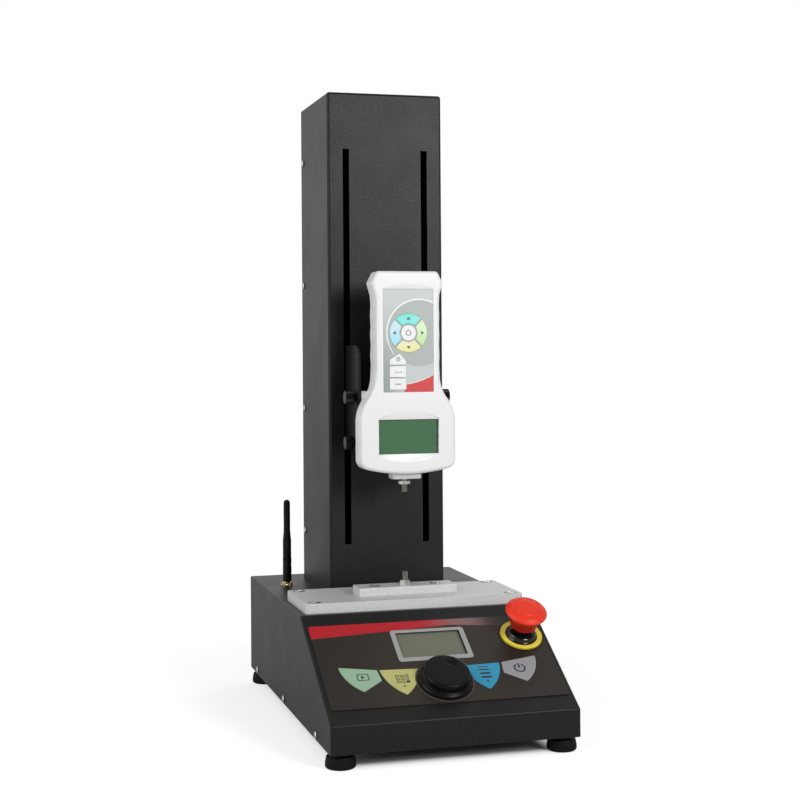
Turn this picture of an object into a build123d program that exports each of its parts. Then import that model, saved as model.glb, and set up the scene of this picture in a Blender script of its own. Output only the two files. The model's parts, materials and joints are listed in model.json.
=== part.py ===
from build123d import *
import os
from math import atan2, cos, pi, sin

# A motorised bench stand for pulling and pressing small samples.
# A box base carries a control panel, a table plate and a column. A carriage inside the
# column rides on two rods, driven by a screw, and two cheek plates reach out through the
# column's slots to hold a hand-held force gauge over the table.
# X runs to the right, Y away from the user, Z up. The origin is on the floor, in the
# middle of the footprint.

# How far a cut runs on past the face that it leaves
overrun = 1.0

# Base housing
base_width = 240.0
base_depth = 405.0
base_height = 104.0
front_lip = 26.6
slope_run = 130.2
cover_sheet = 1.5
fold_radius = 2.0
pan_flange = 20.0
rear_panel_inset = 4.0
sheet_gap = 0.2

# Rubber feet
foot_height = 15.0
foot_radius = 14.0
foot_taper = 1.8
foot_neck_radius = 10.5
foot_neck_height = 1.6
foot_flange_height = 2.0
foot_edge = 1.5
foot_inset_x = 13.0
foot_inset_y = 17.0

# Case screws, all of one size
screw_radius = 2.0
screw_head_radius = 3.6
screw_head_height = 1.8
screw_length = 7.0
socket_width = 2.5
screw_clearance = 0.05
base_screw_rise = 5.0
base_screw_front = 60.0
base_screw_backs = (191.4, 42.5)
column_screw_inset = 10.0
column_screw_margin = 54.6
column_screw_count = 4

# Column
column_width = 126.0
column_depth = 133.0
column_height = 532.2
column_gap_to_back = 26.5
column_sheet = 1.5
column_bend = 3.0
back_flange = 18.0
slot_width = 7.0
slot_offset = 43.0
slot_bottom_rise = 52.7
slot_length = 419.6

# Table plate and the block on it
load_axis_y = -24.5
table_side_margin = 7.0
table_depth = 92.0
table_thickness = 10.0
table_front_overhang = 42.0
table_corner = 3.5
table_bevel = 0.4
table_screw_inset_x = 11.0
table_screw_inset_y = 8.0
block_width = 103.0
block_depth = 28.0
block_height = 8.2
block_screw_offset = 32.0
locating_hole_radius = 1.5
locating_hole_inset = 7.0

# Countersunk screws in the table plate and the block
flat_screw_radius = 2.5
flat_head_radius = 4.8
flat_head_height = 2.5
flat_screw_length = 13.0
flat_socket_width = 3.1
flat_socket_depth = 1.75

# Threaded studs on the loading axis; the part of each inside its nut and seat is drawn at its root
stud_radius = 3.0
stud_root_radius = 2.6
stud_relief = 0.3
lower_stud_height = 13.4
lower_stud_depth = 6.0
lower_nut_width = 10.0
lower_nut_height = 4.6
lower_nut_turn = 14.3
upper_stud_bottom = 232.4
upper_stud_length = 30.0
upper_nut_radius = 6.0
upper_nut_height = 3.0
upper_nut_gap = 2.5
stud_clearance = 0.05
stud_bevel = 0.6
nut_corner_ratio = 0.59
nut_bevel = 0.6
upper_nut_notch_radius = 0.6
upper_nut_notch_circle = 6.2
upper_nut_notches = 12

# Drive: screw, rods, bearings and motor, all on one line behind the column's front
drive_setback = 31.5
lead_screw_radius = 8.0
journal_radius = 6.0
journal_length = 14.0
motor_end_radius = 5.0
motor_end_length = 30.0
rod_radius = 6.0
rod_offset = 27.0
rod_seat_depth = 10.0
bearing_radius = 16.0
bearing_width = 10.0
bearing_race = 3.2
bearing_groove = 0.8
running_clearance = 0.04
bearing_plate_thickness = 14.0
bearing_plate_depth = 84.0
upper_plate_drop = 14.0
motor_width = 57.0
motor_length = 76.0
motor_corner = 5.0
motor_boss_radius = 19.0
motor_boss_height = 1.6
motor_end_band = 15.0
motor_waist = 1.2
motor_bore_spare = 2.0
screw_end_gap = 1.0
screw_bevel = 1.0

# Carriage
carriage_depth = 48.0
carriage_bottom = 273.7
carriage_height = 109.0
carriage_corner = 3.0
bushing_radius = 10.5
bushing_length = 30.0
bushing_relief = 1.5
nut_radius = 14.0
nut_length = 40.0
nut_flange_radius = 24.0
nut_flange_half_width = 19.5
nut_flange_height = 10.0
screw_room = 2.0
carriage_window_width = 40.0
carriage_window_height = 22.0

# Cheek plates and their screws
cheek_thickness = 3.0
cheek_front_y = -10.0
cheek_corner = 12.0
cheek_screw_spread = 70.0
cheek_screw_inset = 5.0

# Thumb screws that clamp the gauge
thumb_y = 1.5
thumb_heights = (281.9, 329.0)
thumb_shank_radius = 2.4
thumb_shank_reach = 12.0
thumb_neck_radius = 4.2
thumb_neck_length = 2.4
thumb_head_radius = 7.2
thumb_head_length = 9.0
thumb_head_bevel = 0.8
thumb_groove_radius = 0.8
thumb_groove_circle = 7.5
thumb_groove_count = 18
thumb_clearance = 0.1

# Force gauge
gauge_front_y = -44.0
gauge_parting_y = -26.0
gauge_back_y = -16.0
gauge_wall = 2.2
gauge_edge = 4.0
gauge_top = 457.5
gauge_top_half = 31.5
shoulder_half = 37.6
shoulder_z = 445.7
neck_half = 33.8
neck_top = 433.0
neck_bottom = 352.0
body_half = 49.8
body_top = 304.0
crown_corner_z = 258.4
crown_z = 251.4
crown_corner_radius = 10.0
grip_count = 4
grip_depth = 1.0
grip_width = 18.0
clamp_box_half = 41.0
clamp_box_top = 335.3
clamp_box_bottom = 268.0
clamp_box_back_y = 14.0
clamp_box_corner = 4.0
clamp_rib_half = 14.0
clamp_box_root = 4.0
shell_gap = 0.1

# Gauge keypad and display
keypad_half = 26.5
keypad_top = 439.3
keypad_bottom = 334.7
overlay_thickness = 0.8
key_gap = 0.3
key_rise = 0.3
key_depth = 2.6
ring_key_center = (0.0, 394.8)
ring_key_inner = 9.4
ring_key_outer = 19.6
ring_key_gap = 1.6
ring_center_radius = 7.8
soft_key_left = -19.8
soft_key_width = 17.2
soft_key_height = 11.4
soft_key_pitch = 12.6
soft_key_bottom = 337.4
soft_key_corner = 1.2
soft_key_eave = 5.3
soft_key_ridge = 10.4
soft_key_right_eave = 3.6
display_half = 31.6
display_top = 307.1
display_bottom = 272.0
display_recess = 1.6
display_module_thickness = 2.2
display_module_rim = 4.0
gauge_board_half = 28.0
gauge_board_top = 428.0
scoop_rise = 8.5
scoop_depth = 1.3
scoop_reach = 1.5
keypad_scoop_rise = 5.5
keypad_scoop_depth = 0.7

# Gauge load cell and the collar below it
cell_width = 26.0
cell_depth = 10.0
cell_height = 34.0
cell_bottom = 258.4
cell_slot = 2.0
cell_slot_rise = 7.0
cell_slot_shift = 4.0
cell_stud_depth = 6.0
cell_pad_radius = 4.0
cell_pad_rises = (10.0, 26.0)
collar_width = 31.0
collar_depth = 19.0
collar_shift = -2.5
collar_bottom = 245.8
collar_top = 256.0
collar_corner = 4.0
collar_bevel = 1.0

# Control panel on the slope, measured across (u) and up the slope (v)
panel_side_margin = 4.5
panel_low = 19.0
panel_high = 134.0
panel_corner = 3.0
panel_thickness = 0.8
window_half = 32.0
window_low = 83.0
window_high = 118.5
display_glass_rise = 0.9
display_module_depth = 6.0
display_module_margin = 5.0
knob_v = 48.0
knob_height = 13.0
knob_low = 0.5
knob_side = (
    (25.7, 0.5),
    (26.3, 1.1),
    (25.9, 3.0),
    (24.1, 4.4),
    (23.0, 4.6),
    (22.7, 5.4),
    (22.3, 11.0),
    (21.5, 12.4),
    (19.7, 13.0),
)
knob_nut_room = 1.5
knob_bore_depth = 7.5
knob_dimple = (7.4, 10.2)
knob_dimple_radius = 9.0
knob_dimple_depth = 2.2
knob_shaft_radius = 3.0
knob_shaft_drop = 12.0
encoder_bush_radius = 4.5
encoder_nut_radius = 7.0
encoder_nut_height = 2.0
encoder_body = 16.0
encoder_depth = 7.0
encoder_floor = 2.0

# Emergency stop, measured as the knob is
stop_inset = 26.6
stop_v = 104.1
stop_ring_radius = 21.5
stop_ring_thickness = 1.2
stop_collar_radius = 15.2
stop_collar_foot = 1.8
stop_collar_step = 1.2
stop_collar_height = 7.0
stop_barrel_radius = 11.0
stop_barrel_drop = 14.0
stop_nut_rim = 4.0
stop_nut_height = 4.0
stop_block_width = 30.0
stop_block_depth = 26.0
stop_stem_radius = 6.0
stop_stem_top = 25.5
stop_stem_drop = 8.0
stop_travel = 5.0
stop_stem_spare = 2.0

# Mushroom head's outline from the skirt's foot to the disc, as (radius, height)
skirt_foot = (13.2, 12.9)
skirt_waist = (14.8, 23.4)
rim_low = (19.8, 29.6)
rim_widest = (20.5, 31.0)
rim_high = (19.6, 32.6)
crown_bow = (15.4, 35.5)
disc_foot = (12.0, 35.7)
disc_edge = (11.4, 36.5)

# Shield-shaped panel keys: corners of the right-hand pair, in panel millimetres
outer_key = {
    "inner_top": (61.7, 67.9),
    "outer_top": (97.8, 74.2),
    "outer_side": (93.4, 57.0),
    "point": (79.7, 40.2),
    "inner_low": (60.1, 53.6),
}
inner_key_point = (40.4, 33.0)
inner_key_top_in = (21.2, 66.6)
inner_key_top_out = (59.4, 67.6)
inner_key_side = (55.3, 52.0)
inner_key_waist = (25.5, 52.0)
knob_ring_radius = 28.3
panel_key_rise = 0.3
panel_key_depth = 2.3
panel_key_gap = 0.3

# Control board behind the panel
board_side_margin = 15.0
board_low = 12.0
board_high = 128.0
board_thickness = 1.6
board_drop = 12.0
board_pillar_radius = 3.0
board_pillar_inset = 6.0
board_stop_room = 34.0
chip_height = 3.0
chips = (
    (-70.0, 100.0, 22.0, 16.0),
    (-45.0, 62.0, 14.0, 14.0),
    (52.0, 100.0, 18.0, 12.0),
    (-70.0, 40.0, 30.0, 10.0),
)

# Antenna on the deck, left of the column
antenna_inset = 27.5
antenna_to_back = 76.0
antenna_hole_radius = 3.3
antenna_barrel_radius = 4.8
antenna_barrel_start = 4.2
antenna_joint_rise = 25.0
antenna_ear_gap = 4.0
antenna_tongue_gap = 0.3
antenna_pin_radius = 1.2
antenna_tip_radius = 3.6
antenna_height = 94.0
antenna_whip_radius = 4.6
antenna_taper_start = 24.0
antenna_taper_end = 35.0
antenna_nut_width = 11.0
antenna_nut_height = 2.6
antenna_socket_drop = 9.0
antenna_socket_ring = 5.5
antenna_thread_length = 3.0
antenna_thread_gap = 0.2

# Rear power socket
jack_inset = 50.0
jack_rise = 30.0
jack_bore_radius = 2.9
jack_bore_depth = 9.0
jack_pin_radius = 1.0
jack_flange_radius = 6.0
jack_flange_thickness = 1.5
jack_body_radius = 5.0
jack_body_length = 15.0
vent_count = 9
vent_pitch = 7.0
vent_width = 3.0
vent_height = 34.0

# Limit switches on the column's left wall, one above the lower bearing plate and one below the upper
switch_size = (8.0, 20.0, 10.0)
switch_above_plate = 52.7
switch_below_plate = 45.9
switch_roller_radius = 2.5
switch_roller_height = 4.0

# Places worked out from the sizes above
base_bottom = foot_height
deck_z = base_bottom + base_height
table_width = base_width - table_side_margin * 2
panel_half = base_width / 2 - panel_side_margin
board_half = base_width / 2 - board_side_margin
stop_u = base_width / 2 - stop_inset
antenna_x = antenna_inset - base_width / 2
jack_x = base_width / 2 - jack_inset
front_y = -base_depth / 2
back_y = base_depth / 2
antenna_y = back_y - antenna_to_back
lip_z = base_bottom + front_lip
slope_angle = atan2(base_height - front_lip, slope_run)
column_back_y = back_y - column_gap_to_back
column_front_y = column_back_y - column_depth
column_top = deck_z + column_height
slot_bottom = deck_z + slot_bottom_rise
drive_y = column_front_y + drive_setback
table_front_y = load_axis_y - table_front_overhang
table_top = deck_z + table_thickness
block_top = table_top + block_height
lower_plate_top = deck_z + bearing_plate_thickness
upper_plate_top = column_top - upper_plate_drop
upper_plate_bottom = upper_plate_top - bearing_plate_thickness
carriage_top = carriage_bottom + carriage_height
cheek_inner = slot_offset - cheek_thickness / 2
cheek_outer = slot_offset + cheek_thickness / 2
carriage_back_y = drive_y + carriage_depth / 2
stud_bore = stud_root_radius + stud_clearance


# Shared helpers

def panel_plane(height=0.0):
    """The sloping panel: x across, y up the slope, z out of it, from the lower fold."""
    normal = (0, -sin(slope_angle), cos(slope_angle))
    origin = (0, front_y, lip_z)
    return Plane(origin=origin, x_dir=(1, 0, 0), z_dir=normal).offset(height)


def facing_user(y):
    """An upright plane at depth y: x to the right, y up, z towards the user."""
    return Plane(origin=(0, y, 0), x_dir=(1, 0, 0), z_dir=(0, -1, 0))


def side_profile(points):
    """A face in the YZ plane from (y, z) corners."""
    return Plane.YZ * make_face(Polyline(*points, close=True))


def box_between(low, high):
    size = [b - a for a, b in zip(low, high)]
    middle = [(a + b) / 2 for a, b in zip(low, high)]
    return Pos(*middle) * Box(*size)


def rod_between(radius, low_z, high_z, x=0.0, y=0.0):
    height = high_z - low_z
    return Pos(x, y, low_z + height / 2) * Cylinder(radius, height)


def turned(profile):
    """A solid of revolution about local Z from (radius, height) corners."""
    face = Plane.XZ * make_face(Polyline(*profile, close=True))
    return revolve(face, Axis.Z)


def group(solids):
    return Compound(children=list(solids))


def mirrored_pair(solid):
    return group([solid, mirror(solid, Plane.YZ)])


# Fasteners

def case_screw():
    """A socket screw with its head's seat at z = 0 and its shank below."""
    head = Pos(0, 0, screw_head_height / 2) * Cylinder(screw_head_radius, screw_head_height)
    head = chamfer(head.edges().group_by(Axis.Z)[-1], screw_head_height / 2)
    shank = Pos(0, 0, -screw_length / 2) * Cylinder(screw_radius, screw_length)
    socket = extrude(RegularPolygon(socket_width / 2, 6), screw_head_height / 2)
    return head + shank - Pos(0, 0, screw_head_height / 2) * socket


def base_screw_places():
    """Places of the screws in the base's sides, each with the side it stands on."""
    z = base_bottom + base_screw_rise
    rows = [front_y + base_screw_front, *(back_y - back for back in base_screw_backs)]
    return [(side * base_width / 2, y, z, side) for side in (-1, 1) for y in rows]


def column_screw_places():
    low = deck_z + column_screw_margin
    high = column_top - column_screw_margin - screw_head_radius * 2
    step = (high - low) / (column_screw_count - 1)
    heights = [low + step * i for i in range(column_screw_count)]
    y = column_back_y - column_screw_inset
    return [(side * column_width / 2, y, z, side) for side in (-1, 1) for z in heights]


def outward(x, y, z, side):
    """A place on a side wall, with its local Z pointing out of the wall."""
    return Pos(x, y, z) * Rot(0, 90 * side, 0)


def drilled(solid, places):
    """The solid with a clearance hole for a case screw at each place on its sides."""
    drill = Cylinder(screw_radius + screw_clearance, (screw_length + overrun) * 2)
    for place in places:
        solid -= outward(*place) * drill
    return solid


def foot_places():
    x = base_width / 2 - foot_inset_x
    y = base_depth / 2 - foot_inset_y
    return [(sx * x, sy * y) for sx in (-1, 1) for sy in (-1, 1)]


def case_screws():
    solids = [outward(*place) * case_screw() for place in base_screw_places() + column_screw_places()]
    for x, y in foot_places():
        solids.append(Pos(x, y, foot_height / 2) * Rot(180, 0, 0) * case_screw_long())
    return group(solids)


def case_screw_long():
    """The foot's screw: the same head, with a shank that reaches through the pan."""
    reach = foot_height / 2 + cover_sheet + screw_radius
    shank = Pos(0, 0, -reach / 2) * Cylinder(screw_radius, reach)
    return case_screw() + shank


def flat_screw():
    """A countersunk screw with the top of its head at z = 0."""
    profile = [
        (0, 0),
        (flat_head_radius, 0),
        (flat_screw_radius, -flat_head_height),
        (flat_screw_radius, -flat_screw_length),
        (0, -flat_screw_length),
    ]
    return turned(profile) - extrude(RegularPolygon(flat_socket_width / 2, 6), -flat_socket_depth)


def flat_screw_hole(depth):
    """The hole for a countersunk screw, down from z = 0, with a little room."""
    wide = flat_head_radius + screw_clearance
    narrow = flat_screw_radius + screw_clearance
    profile = [
        (0, overrun),
        (wide, overrun),
        (wide, 0),
        (narrow, -flat_head_height),
        (narrow, -depth),
        (0, -depth),
    ]
    return turned(profile)


def table_screw_places():
    x = table_width / 2 - table_screw_inset_x
    front = table_front_y + table_screw_inset_y
    back = table_front_y + table_depth - table_screw_inset_y
    return [(sx * x, y, table_top) for sx in (-1, 1) for y in (front, back)]


def block_screw_places():
    return [(sx * block_screw_offset, load_axis_y, block_top) for sx in (-1, 1)]


def table_screws():
    return group(Pos(*place) * flat_screw() for place in table_screw_places() + block_screw_places())


# Base

def base_solid(inset, tail):
    """The base's wedge-fronted block, drawn in by inset and run on by tail below and behind."""
    profile = side_profile([
        (front_y, base_bottom - tail),
        (front_y, lip_z),
        (front_y + slope_run, deck_z),
        (back_y + tail, deck_z),
        (back_y + tail, base_bottom - tail),
    ])
    if inset:
        profile = offset(profile, -inset, kind=Kind.INTERSECTION)
    return extrude(profile, base_width / 2 - inset, both=True)


def base_cover():
    outer = base_solid(0, 0)
    upper = [e for e in outer.edges() if e.center().Z > base_bottom + overrun]
    folds = [e for e in upper if e.center().Y < back_y - overrun]
    shell = fillet(folds, fold_radius) - base_solid(cover_sheet, cover_sheet * 3)
    for place in table_screw_places():
        shell -= Pos(*place) * flat_screw_hole(table_thickness + cover_sheet * 2)
    low, high = deck_z - cover_sheet - overrun, deck_z + overrun
    shell -= rod_between(motor_boss_radius + sheet_gap, low, high, 0, drive_y)
    shell -= rod_between(antenna_hole_radius, low, high, antenna_x, antenna_y)
    shell -= panel_openings(-cover_sheet - overrun)
    return drilled(shell, base_screw_places())


def base_pan():
    """The bottom sheet with its side and front flanges and the rear panel turned up."""
    wide = base_width / 2 - cover_sheet - sheet_gap
    front = front_y + cover_sheet + sheet_gap
    rear = back_y - rear_panel_inset
    floor = box_between((-wide, front, base_bottom), (wide, rear, base_bottom + cover_sheet))
    flange_top = base_bottom + pan_flange
    sides = mirrored_pair(box_between((wide - cover_sheet, front, base_bottom), (wide, rear, flange_top)))
    lip = box_between((-wide, front, base_bottom), (wide, front + cover_sheet, flange_top))
    panel_top = deck_z - cover_sheet - sheet_gap
    panel = box_between((-wide, rear - cover_sheet, base_bottom), (wide, rear, panel_top))
    pan = floor + lip + panel
    for side in sides.solids():
        pan += side
    low, high = base_bottom - overrun, base_bottom + cover_sheet + overrun
    for x, y in foot_places():
        pan -= rod_between(screw_radius + screw_clearance, low, high, x, y)
    jack_z = base_bottom + jack_rise
    jack_bore = Cylinder(jack_body_radius + sheet_gap, (cover_sheet + overrun) * 2)
    pan -= Pos(jack_x, rear, jack_z) * Rot(90, 0, 0) * jack_bore
    middle_z = (base_bottom + deck_z) / 2
    for i in range(vent_count):
        x = (i - (vent_count - 1) / 2) * vent_pitch
        vent = Pos(x, middle_z) * SlotOverall(vent_height, vent_width, rotation=90)
        pan -= extrude(facing_user(rear + overrun) * vent, cover_sheet + overrun * 2)
    return drilled(pan, base_screw_places())


def rubber_feet():
    neck_top = foot_height - foot_flange_height
    neck_low = neck_top - foot_neck_height
    bore = screw_radius + sheet_gap
    pocket = screw_head_radius + sheet_gap
    lower = foot_radius - foot_taper
    profile = [
        (pocket, 0),
        (foot_radius - foot_edge, 0),
        (foot_radius, foot_edge),
        (lower, neck_low),
        (foot_neck_radius, neck_low),
        (foot_neck_radius, neck_top),
        (lower, neck_top),
        (lower, foot_height),
        (bore, foot_height),
        (bore, foot_height / 2),
        (pocket, foot_height / 2),
    ]
    foot = turned(profile)
    return group(Pos(x, y, 0) * foot for x, y in foot_places())


# Panel

def key_face(corners):
    """A shield: straight top, bowed outer side, point below and straight inner side."""
    top_in, top_out, side, point, low_in = corners
    edges = [
        Line(top_in, top_out),
        ThreePointArc(top_out, side, point),
        Line(point, low_in),
        Line(low_in, top_in),
    ]
    return make_face(Curve() + edges)


def panel_keys():
    """The four keys by name, as faces on the panel."""
    outer = key_face(outer_key.values())
    edges = [
        Line(inner_key_top_in, inner_key_top_out),
        ThreePointArc(inner_key_top_out, inner_key_side, inner_key_point),
        ThreePointArc(inner_key_point, inner_key_waist, inner_key_top_in),
    ]
    inner = make_face(Curve() + edges) - Pos(0, knob_v) * Circle(knob_ring_radius)
    return {
        "key_run": mirror(outer, Plane.YZ),
        "key_digits": mirror(inner, Plane.YZ),
        "key_list": inner,
        "key_power": outer,
    }


def panel_key(face):
    return extrude(panel_plane(panel_thickness + panel_key_rise) * face, -panel_key_depth)


def panel_window(margin=0.0):
    middle = (window_low + window_high) / 2
    width = window_half * 2 + margin * 2
    height = window_high - window_low + margin * 2
    return Pos(0, middle) * Rectangle(width, height)


def panel_openings(low):
    """What passes through the panel, from low up: window, knob bush, stop barrel and keys."""
    faces = [
        panel_window(),
        Pos(0, knob_v) * Circle(encoder_bush_radius + sheet_gap),
        Pos(stop_u, stop_v) * Circle(stop_barrel_radius + sheet_gap),
    ]
    faces += [offset(face, panel_key_gap) for face in panel_keys().values()]
    height = panel_thickness + overrun - low
    return group(extrude(panel_plane(low) * face, height) for face in faces)


def panel_overlay():
    middle = (panel_low + panel_high) / 2
    sheet = Pos(0, middle) * RectangleRounded(panel_half * 2, panel_high - panel_low, panel_corner)
    overlay = extrude(panel_plane() * sheet, panel_thickness)
    return overlay - panel_openings(-overrun)


def panel_display():
    """The glass with the module behind it, seated under the cover's window."""
    seat = panel_plane(-cover_sheet)
    glass = extrude(seat * panel_window(-sheet_gap), display_glass_rise)
    return glass + extrude(seat * panel_window(display_module_margin), -display_module_depth)


def control_board():
    middle = (board_low + board_high) / 2
    face = Pos(0, middle) * RectangleRounded(board_half * 2, board_high - board_low, panel_corner)
    top = -cover_sheet - board_drop
    board = extrude(panel_plane(top) * face, -board_thickness)
    x = board_half - board_pillar_inset
    for u in (-x, x):
        for v in (board_low + board_pillar_inset, board_high - board_pillar_inset):
            pillar = Pos(u, v) * Circle(board_pillar_radius)
            board += extrude(panel_plane(-cover_sheet) * pillar, -board_drop - board_thickness / 2)
    for u, v, wide, tall in chips:
        board += extrude(panel_plane(top) * Pos(u, v) * Rectangle(wide, tall), chip_height)
    stop_room = Pos(stop_u, stop_v) * Rectangle(board_stop_room, board_stop_room)
    return board - extrude(panel_plane() * stop_room, top - board_thickness - overrun)


def knob_encoder():
    """The knob's encoder: body on the board, bush and nut through the panel."""
    board_face = -cover_sheet - board_drop
    body = extrude(Rectangle(encoder_body, encoder_body), encoder_depth)
    bush_length = panel_thickness + encoder_nut_height - board_face
    bush = rod_between(encoder_bush_radius, 0, bush_length)
    nut_seat = Pos(0, 0, panel_thickness - board_face)
    nut = nut_seat * extrude(RegularPolygon(encoder_nut_radius, 6), encoder_nut_height)
    bore = rod_between(knob_shaft_radius + running_clearance, encoder_floor, bush_length + overrun)
    return panel_plane(board_face) * Pos(0, knob_v, 0) * (body + bush + nut - bore)


def jog_knob():
    """Shuttle skirt, dial cap with a finger dimple, and the shaft in the encoder."""
    room_height = encoder_nut_height + knob_nut_room
    room_radius = encoder_nut_radius + knob_nut_room
    recess = [(0, room_height), (room_radius, room_height), (room_radius, knob_low)]
    knob = turned([*recess, *knob_side, (0, knob_height)])
    centre_z = knob_height + knob_dimple_radius - knob_dimple_depth
    knob -= Pos(*knob_dimple, centre_z) * Sphere(knob_dimple_radius)
    drop = knob_shaft_drop - knob_bore_depth
    knob += rod_between(knob_shaft_radius, -drop, knob_bore_depth)
    return panel_plane(panel_thickness) * Pos(0, knob_v, 0) * knob


def stop_place():
    return panel_plane() * Pos(stop_u, stop_v, 0)


def stop_body():
    """The emergency stop's fixed half: collar, threaded barrel, ring nut and contact block."""
    foot_top = panel_thickness + stop_collar_foot
    barrel_low = -cover_sheet - stop_barrel_drop
    waist = stop_collar_radius - stop_collar_step
    profile = [
        (0, barrel_low),
        (stop_barrel_radius, barrel_low),
        (stop_barrel_radius, panel_thickness),
        (stop_collar_radius, panel_thickness),
        (stop_collar_radius, foot_top),
        (waist, foot_top + stop_collar_step),
        (waist, stop_collar_height - stop_collar_step),
        (waist - stop_collar_step, stop_collar_height),
        (0, stop_collar_height),
    ]
    body = turned(profile)
    nut_low = -cover_sheet - stop_nut_height
    body += rod_between(stop_barrel_radius + stop_nut_rim, nut_low, -cover_sheet)
    half = stop_block_width / 2
    body += box_between((-half, -half, barrel_low - stop_block_depth), (half, half, barrel_low))
    bore_low = -stop_stem_drop - stop_travel - stop_stem_spare
    body -= rod_between(stop_stem_radius + running_clearance, bore_low, stop_collar_height + overrun)
    return stop_place() * body


def stop_ring():
    ring = Circle(stop_ring_radius) - Circle(stop_collar_radius + sheet_gap)
    return stop_place() * Pos(0, 0, panel_thickness) * extrude(ring, stop_ring_thickness)


def stop_plunger():
    """The stem that slides in the barrel and carries the mushroom head."""
    stem = rod_between(stop_stem_radius, -stop_stem_drop, stop_stem_top)
    return stop_place() * stem


def stop_head():
    """The mushroom: a skirt that flares to the rim and a low crown with a raised disc."""
    bore = stop_stem_radius + running_clearance
    bore_top = stop_stem_top + running_clearance
    foot = (bore, skirt_foot[1])
    axis_top = (0, disc_edge[1])
    outline = [
        Line(foot, skirt_foot),
        ThreePointArc(skirt_foot, skirt_waist, rim_low),
        ThreePointArc(rim_low, rim_widest, rim_high),
        ThreePointArc(rim_high, crown_bow, disc_foot),
        Line(disc_foot, disc_edge),
        Line(disc_edge, axis_top),
        Line(axis_top, (0, bore_top)),
        Line((0, bore_top), (bore, bore_top)),
        Line((bore, bore_top), foot),
    ]
    head = revolve(Plane.XZ * make_face(Curve() + outline), Axis.Z)
    return stop_place() * head


# Table

def table_plate():
    face = RectangleRounded(table_width, table_depth, table_corner)
    plate = extrude(Pos(0, table_front_y + table_depth / 2, deck_z) * face, table_thickness)
    plate = chamfer(plate.edges().group_by(Axis.Z)[-1], table_bevel)
    for place in table_screw_places():
        plate -= Pos(*place) * flat_screw_hole(table_thickness * 2)
    low, high = deck_z - overrun, table_top + overrun
    for x, y, z in block_screw_places():
        plate -= rod_between(flat_screw_radius + screw_clearance, low, high, x, y)
    plate -= rod_between(locating_hole_radius, low, high, 0, table_front_y + locating_hole_inset)
    return plate


def fixture_block():
    half_x, half_y = block_width / 2, block_depth / 2
    low = (-half_x, load_axis_y - half_y, table_top)
    block = box_between(low, (half_x, load_axis_y + half_y, block_top))
    block = chamfer(block.edges().group_by(Axis.Z)[-1], table_bevel)
    for place in block_screw_places():
        block -= Pos(*place) * flat_screw_hole(block_height * 2)
    return block - rod_between(stud_bore, block_top - lower_stud_depth, block_top + overrun, 0, load_axis_y)


def lower_stud():
    thread_low = block_top + lower_nut_height + stud_relief
    thread = rod_between(stud_radius, thread_low, block_top + lower_stud_height, 0, load_axis_y)
    thread = chamfer(thread.edges().group_by(Axis.Z)[-1], stud_bevel)
    return thread + rod_between(stud_root_radius, block_top - lower_stud_depth, thread_low, 0, load_axis_y)


def hex_nut(width, height, bore):
    """A hexagon nut, its corners turned down at both ends."""
    hexagon = extrude(RegularPolygon(width / 2, 6, major_radius=False), height)
    blank = rod_between(width * nut_corner_ratio, 0, height)
    blank = chamfer(blank.edges().filter_by(GeomType.CIRCLE), nut_bevel)
    return (hexagon & blank) - Cylinder(bore, height * 3)


def lower_nut():
    nut = hex_nut(lower_nut_width, lower_nut_height, stud_bore)
    return Pos(0, load_axis_y, block_top) * Rot(0, 0, lower_nut_turn) * nut


# Column

def column_cover():
    """The folded front, sides and top of the column, with the two slots the cheeks pass."""
    half = column_width / 2
    outer = box_between((-half, column_front_y, deck_z), (half, column_back_y, column_top))
    upper = [e for e in outer.edges() if e.center().Z > deck_z + overrun]
    bends = [e for e in upper if e.center().Y < column_back_y - overrun]
    outer = fillet(bends, column_bend)
    inner_half = half - column_sheet
    low = (-inner_half, column_front_y + column_sheet, deck_z - overrun)
    high = (inner_half, column_back_y + overrun, column_top - column_sheet)
    shell = outer - box_between(low, high)
    for middle in (-slot_offset, slot_offset):
        low = (middle - slot_width / 2, column_front_y - overrun, slot_bottom)
        high = (middle + slot_width / 2, column_front_y + column_bend, slot_bottom + slot_length)
        shell -= box_between(low, high)
    return drilled(shell, column_screw_places())


def column_back():
    """The rear cover: a shallow channel whose flanges the side screws pull up to."""
    half = column_width / 2 - column_sheet - sheet_gap
    top = column_top - column_sheet - sheet_gap
    channel = box_between((-half, column_back_y - back_flange, deck_z), (half, column_back_y, top))
    inner = half - column_sheet
    low = (-inner, column_back_y - back_flange - overrun, deck_z - overrun)
    channel -= box_between(low, (inner, column_back_y - column_sheet, top + overrun))
    return drilled(channel, column_screw_places())


def bearing_plate(low_z, bearing_z):
    """A plate across the column that holds a screw bearing."""
    half = column_width / 2 - column_sheet - sheet_gap
    front = column_front_y + column_sheet + sheet_gap
    low = (-half, front, low_z)
    high = (half, front + bearing_plate_depth, low_z + bearing_plate_thickness)
    plate = box_between(low, high)
    plate = fillet(plate.edges().filter_by(Axis.Z), column_bend)
    plate -= rod_between(bearing_radius, bearing_z, bearing_z + bearing_width, 0, drive_y)
    room = bearing_radius - bearing_race
    return plate - rod_between(room, low_z - overrun, high[2] + overrun, 0, drive_y)


def lower_bearing_plate():
    plate = bearing_plate(deck_z, lower_plate_top - bearing_width)
    boss_room = motor_boss_height + sheet_gap
    plate -= rod_between(motor_boss_radius + sheet_gap, deck_z - overrun, deck_z + boss_room, 0, drive_y)
    for x in (-rod_offset, rod_offset):
        seat = lower_plate_top - rod_seat_depth
        plate -= rod_between(rod_radius, seat, lower_plate_top + overrun, x, drive_y)
    return plate


def upper_bearing_plate():
    plate = bearing_plate(upper_plate_bottom, upper_plate_bottom)
    for x in (-rod_offset, rod_offset):
        seat = upper_plate_bottom + rod_seat_depth
        plate -= rod_between(rod_radius, upper_plate_bottom - overrun, seat, x, drive_y)
    return plate


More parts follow.
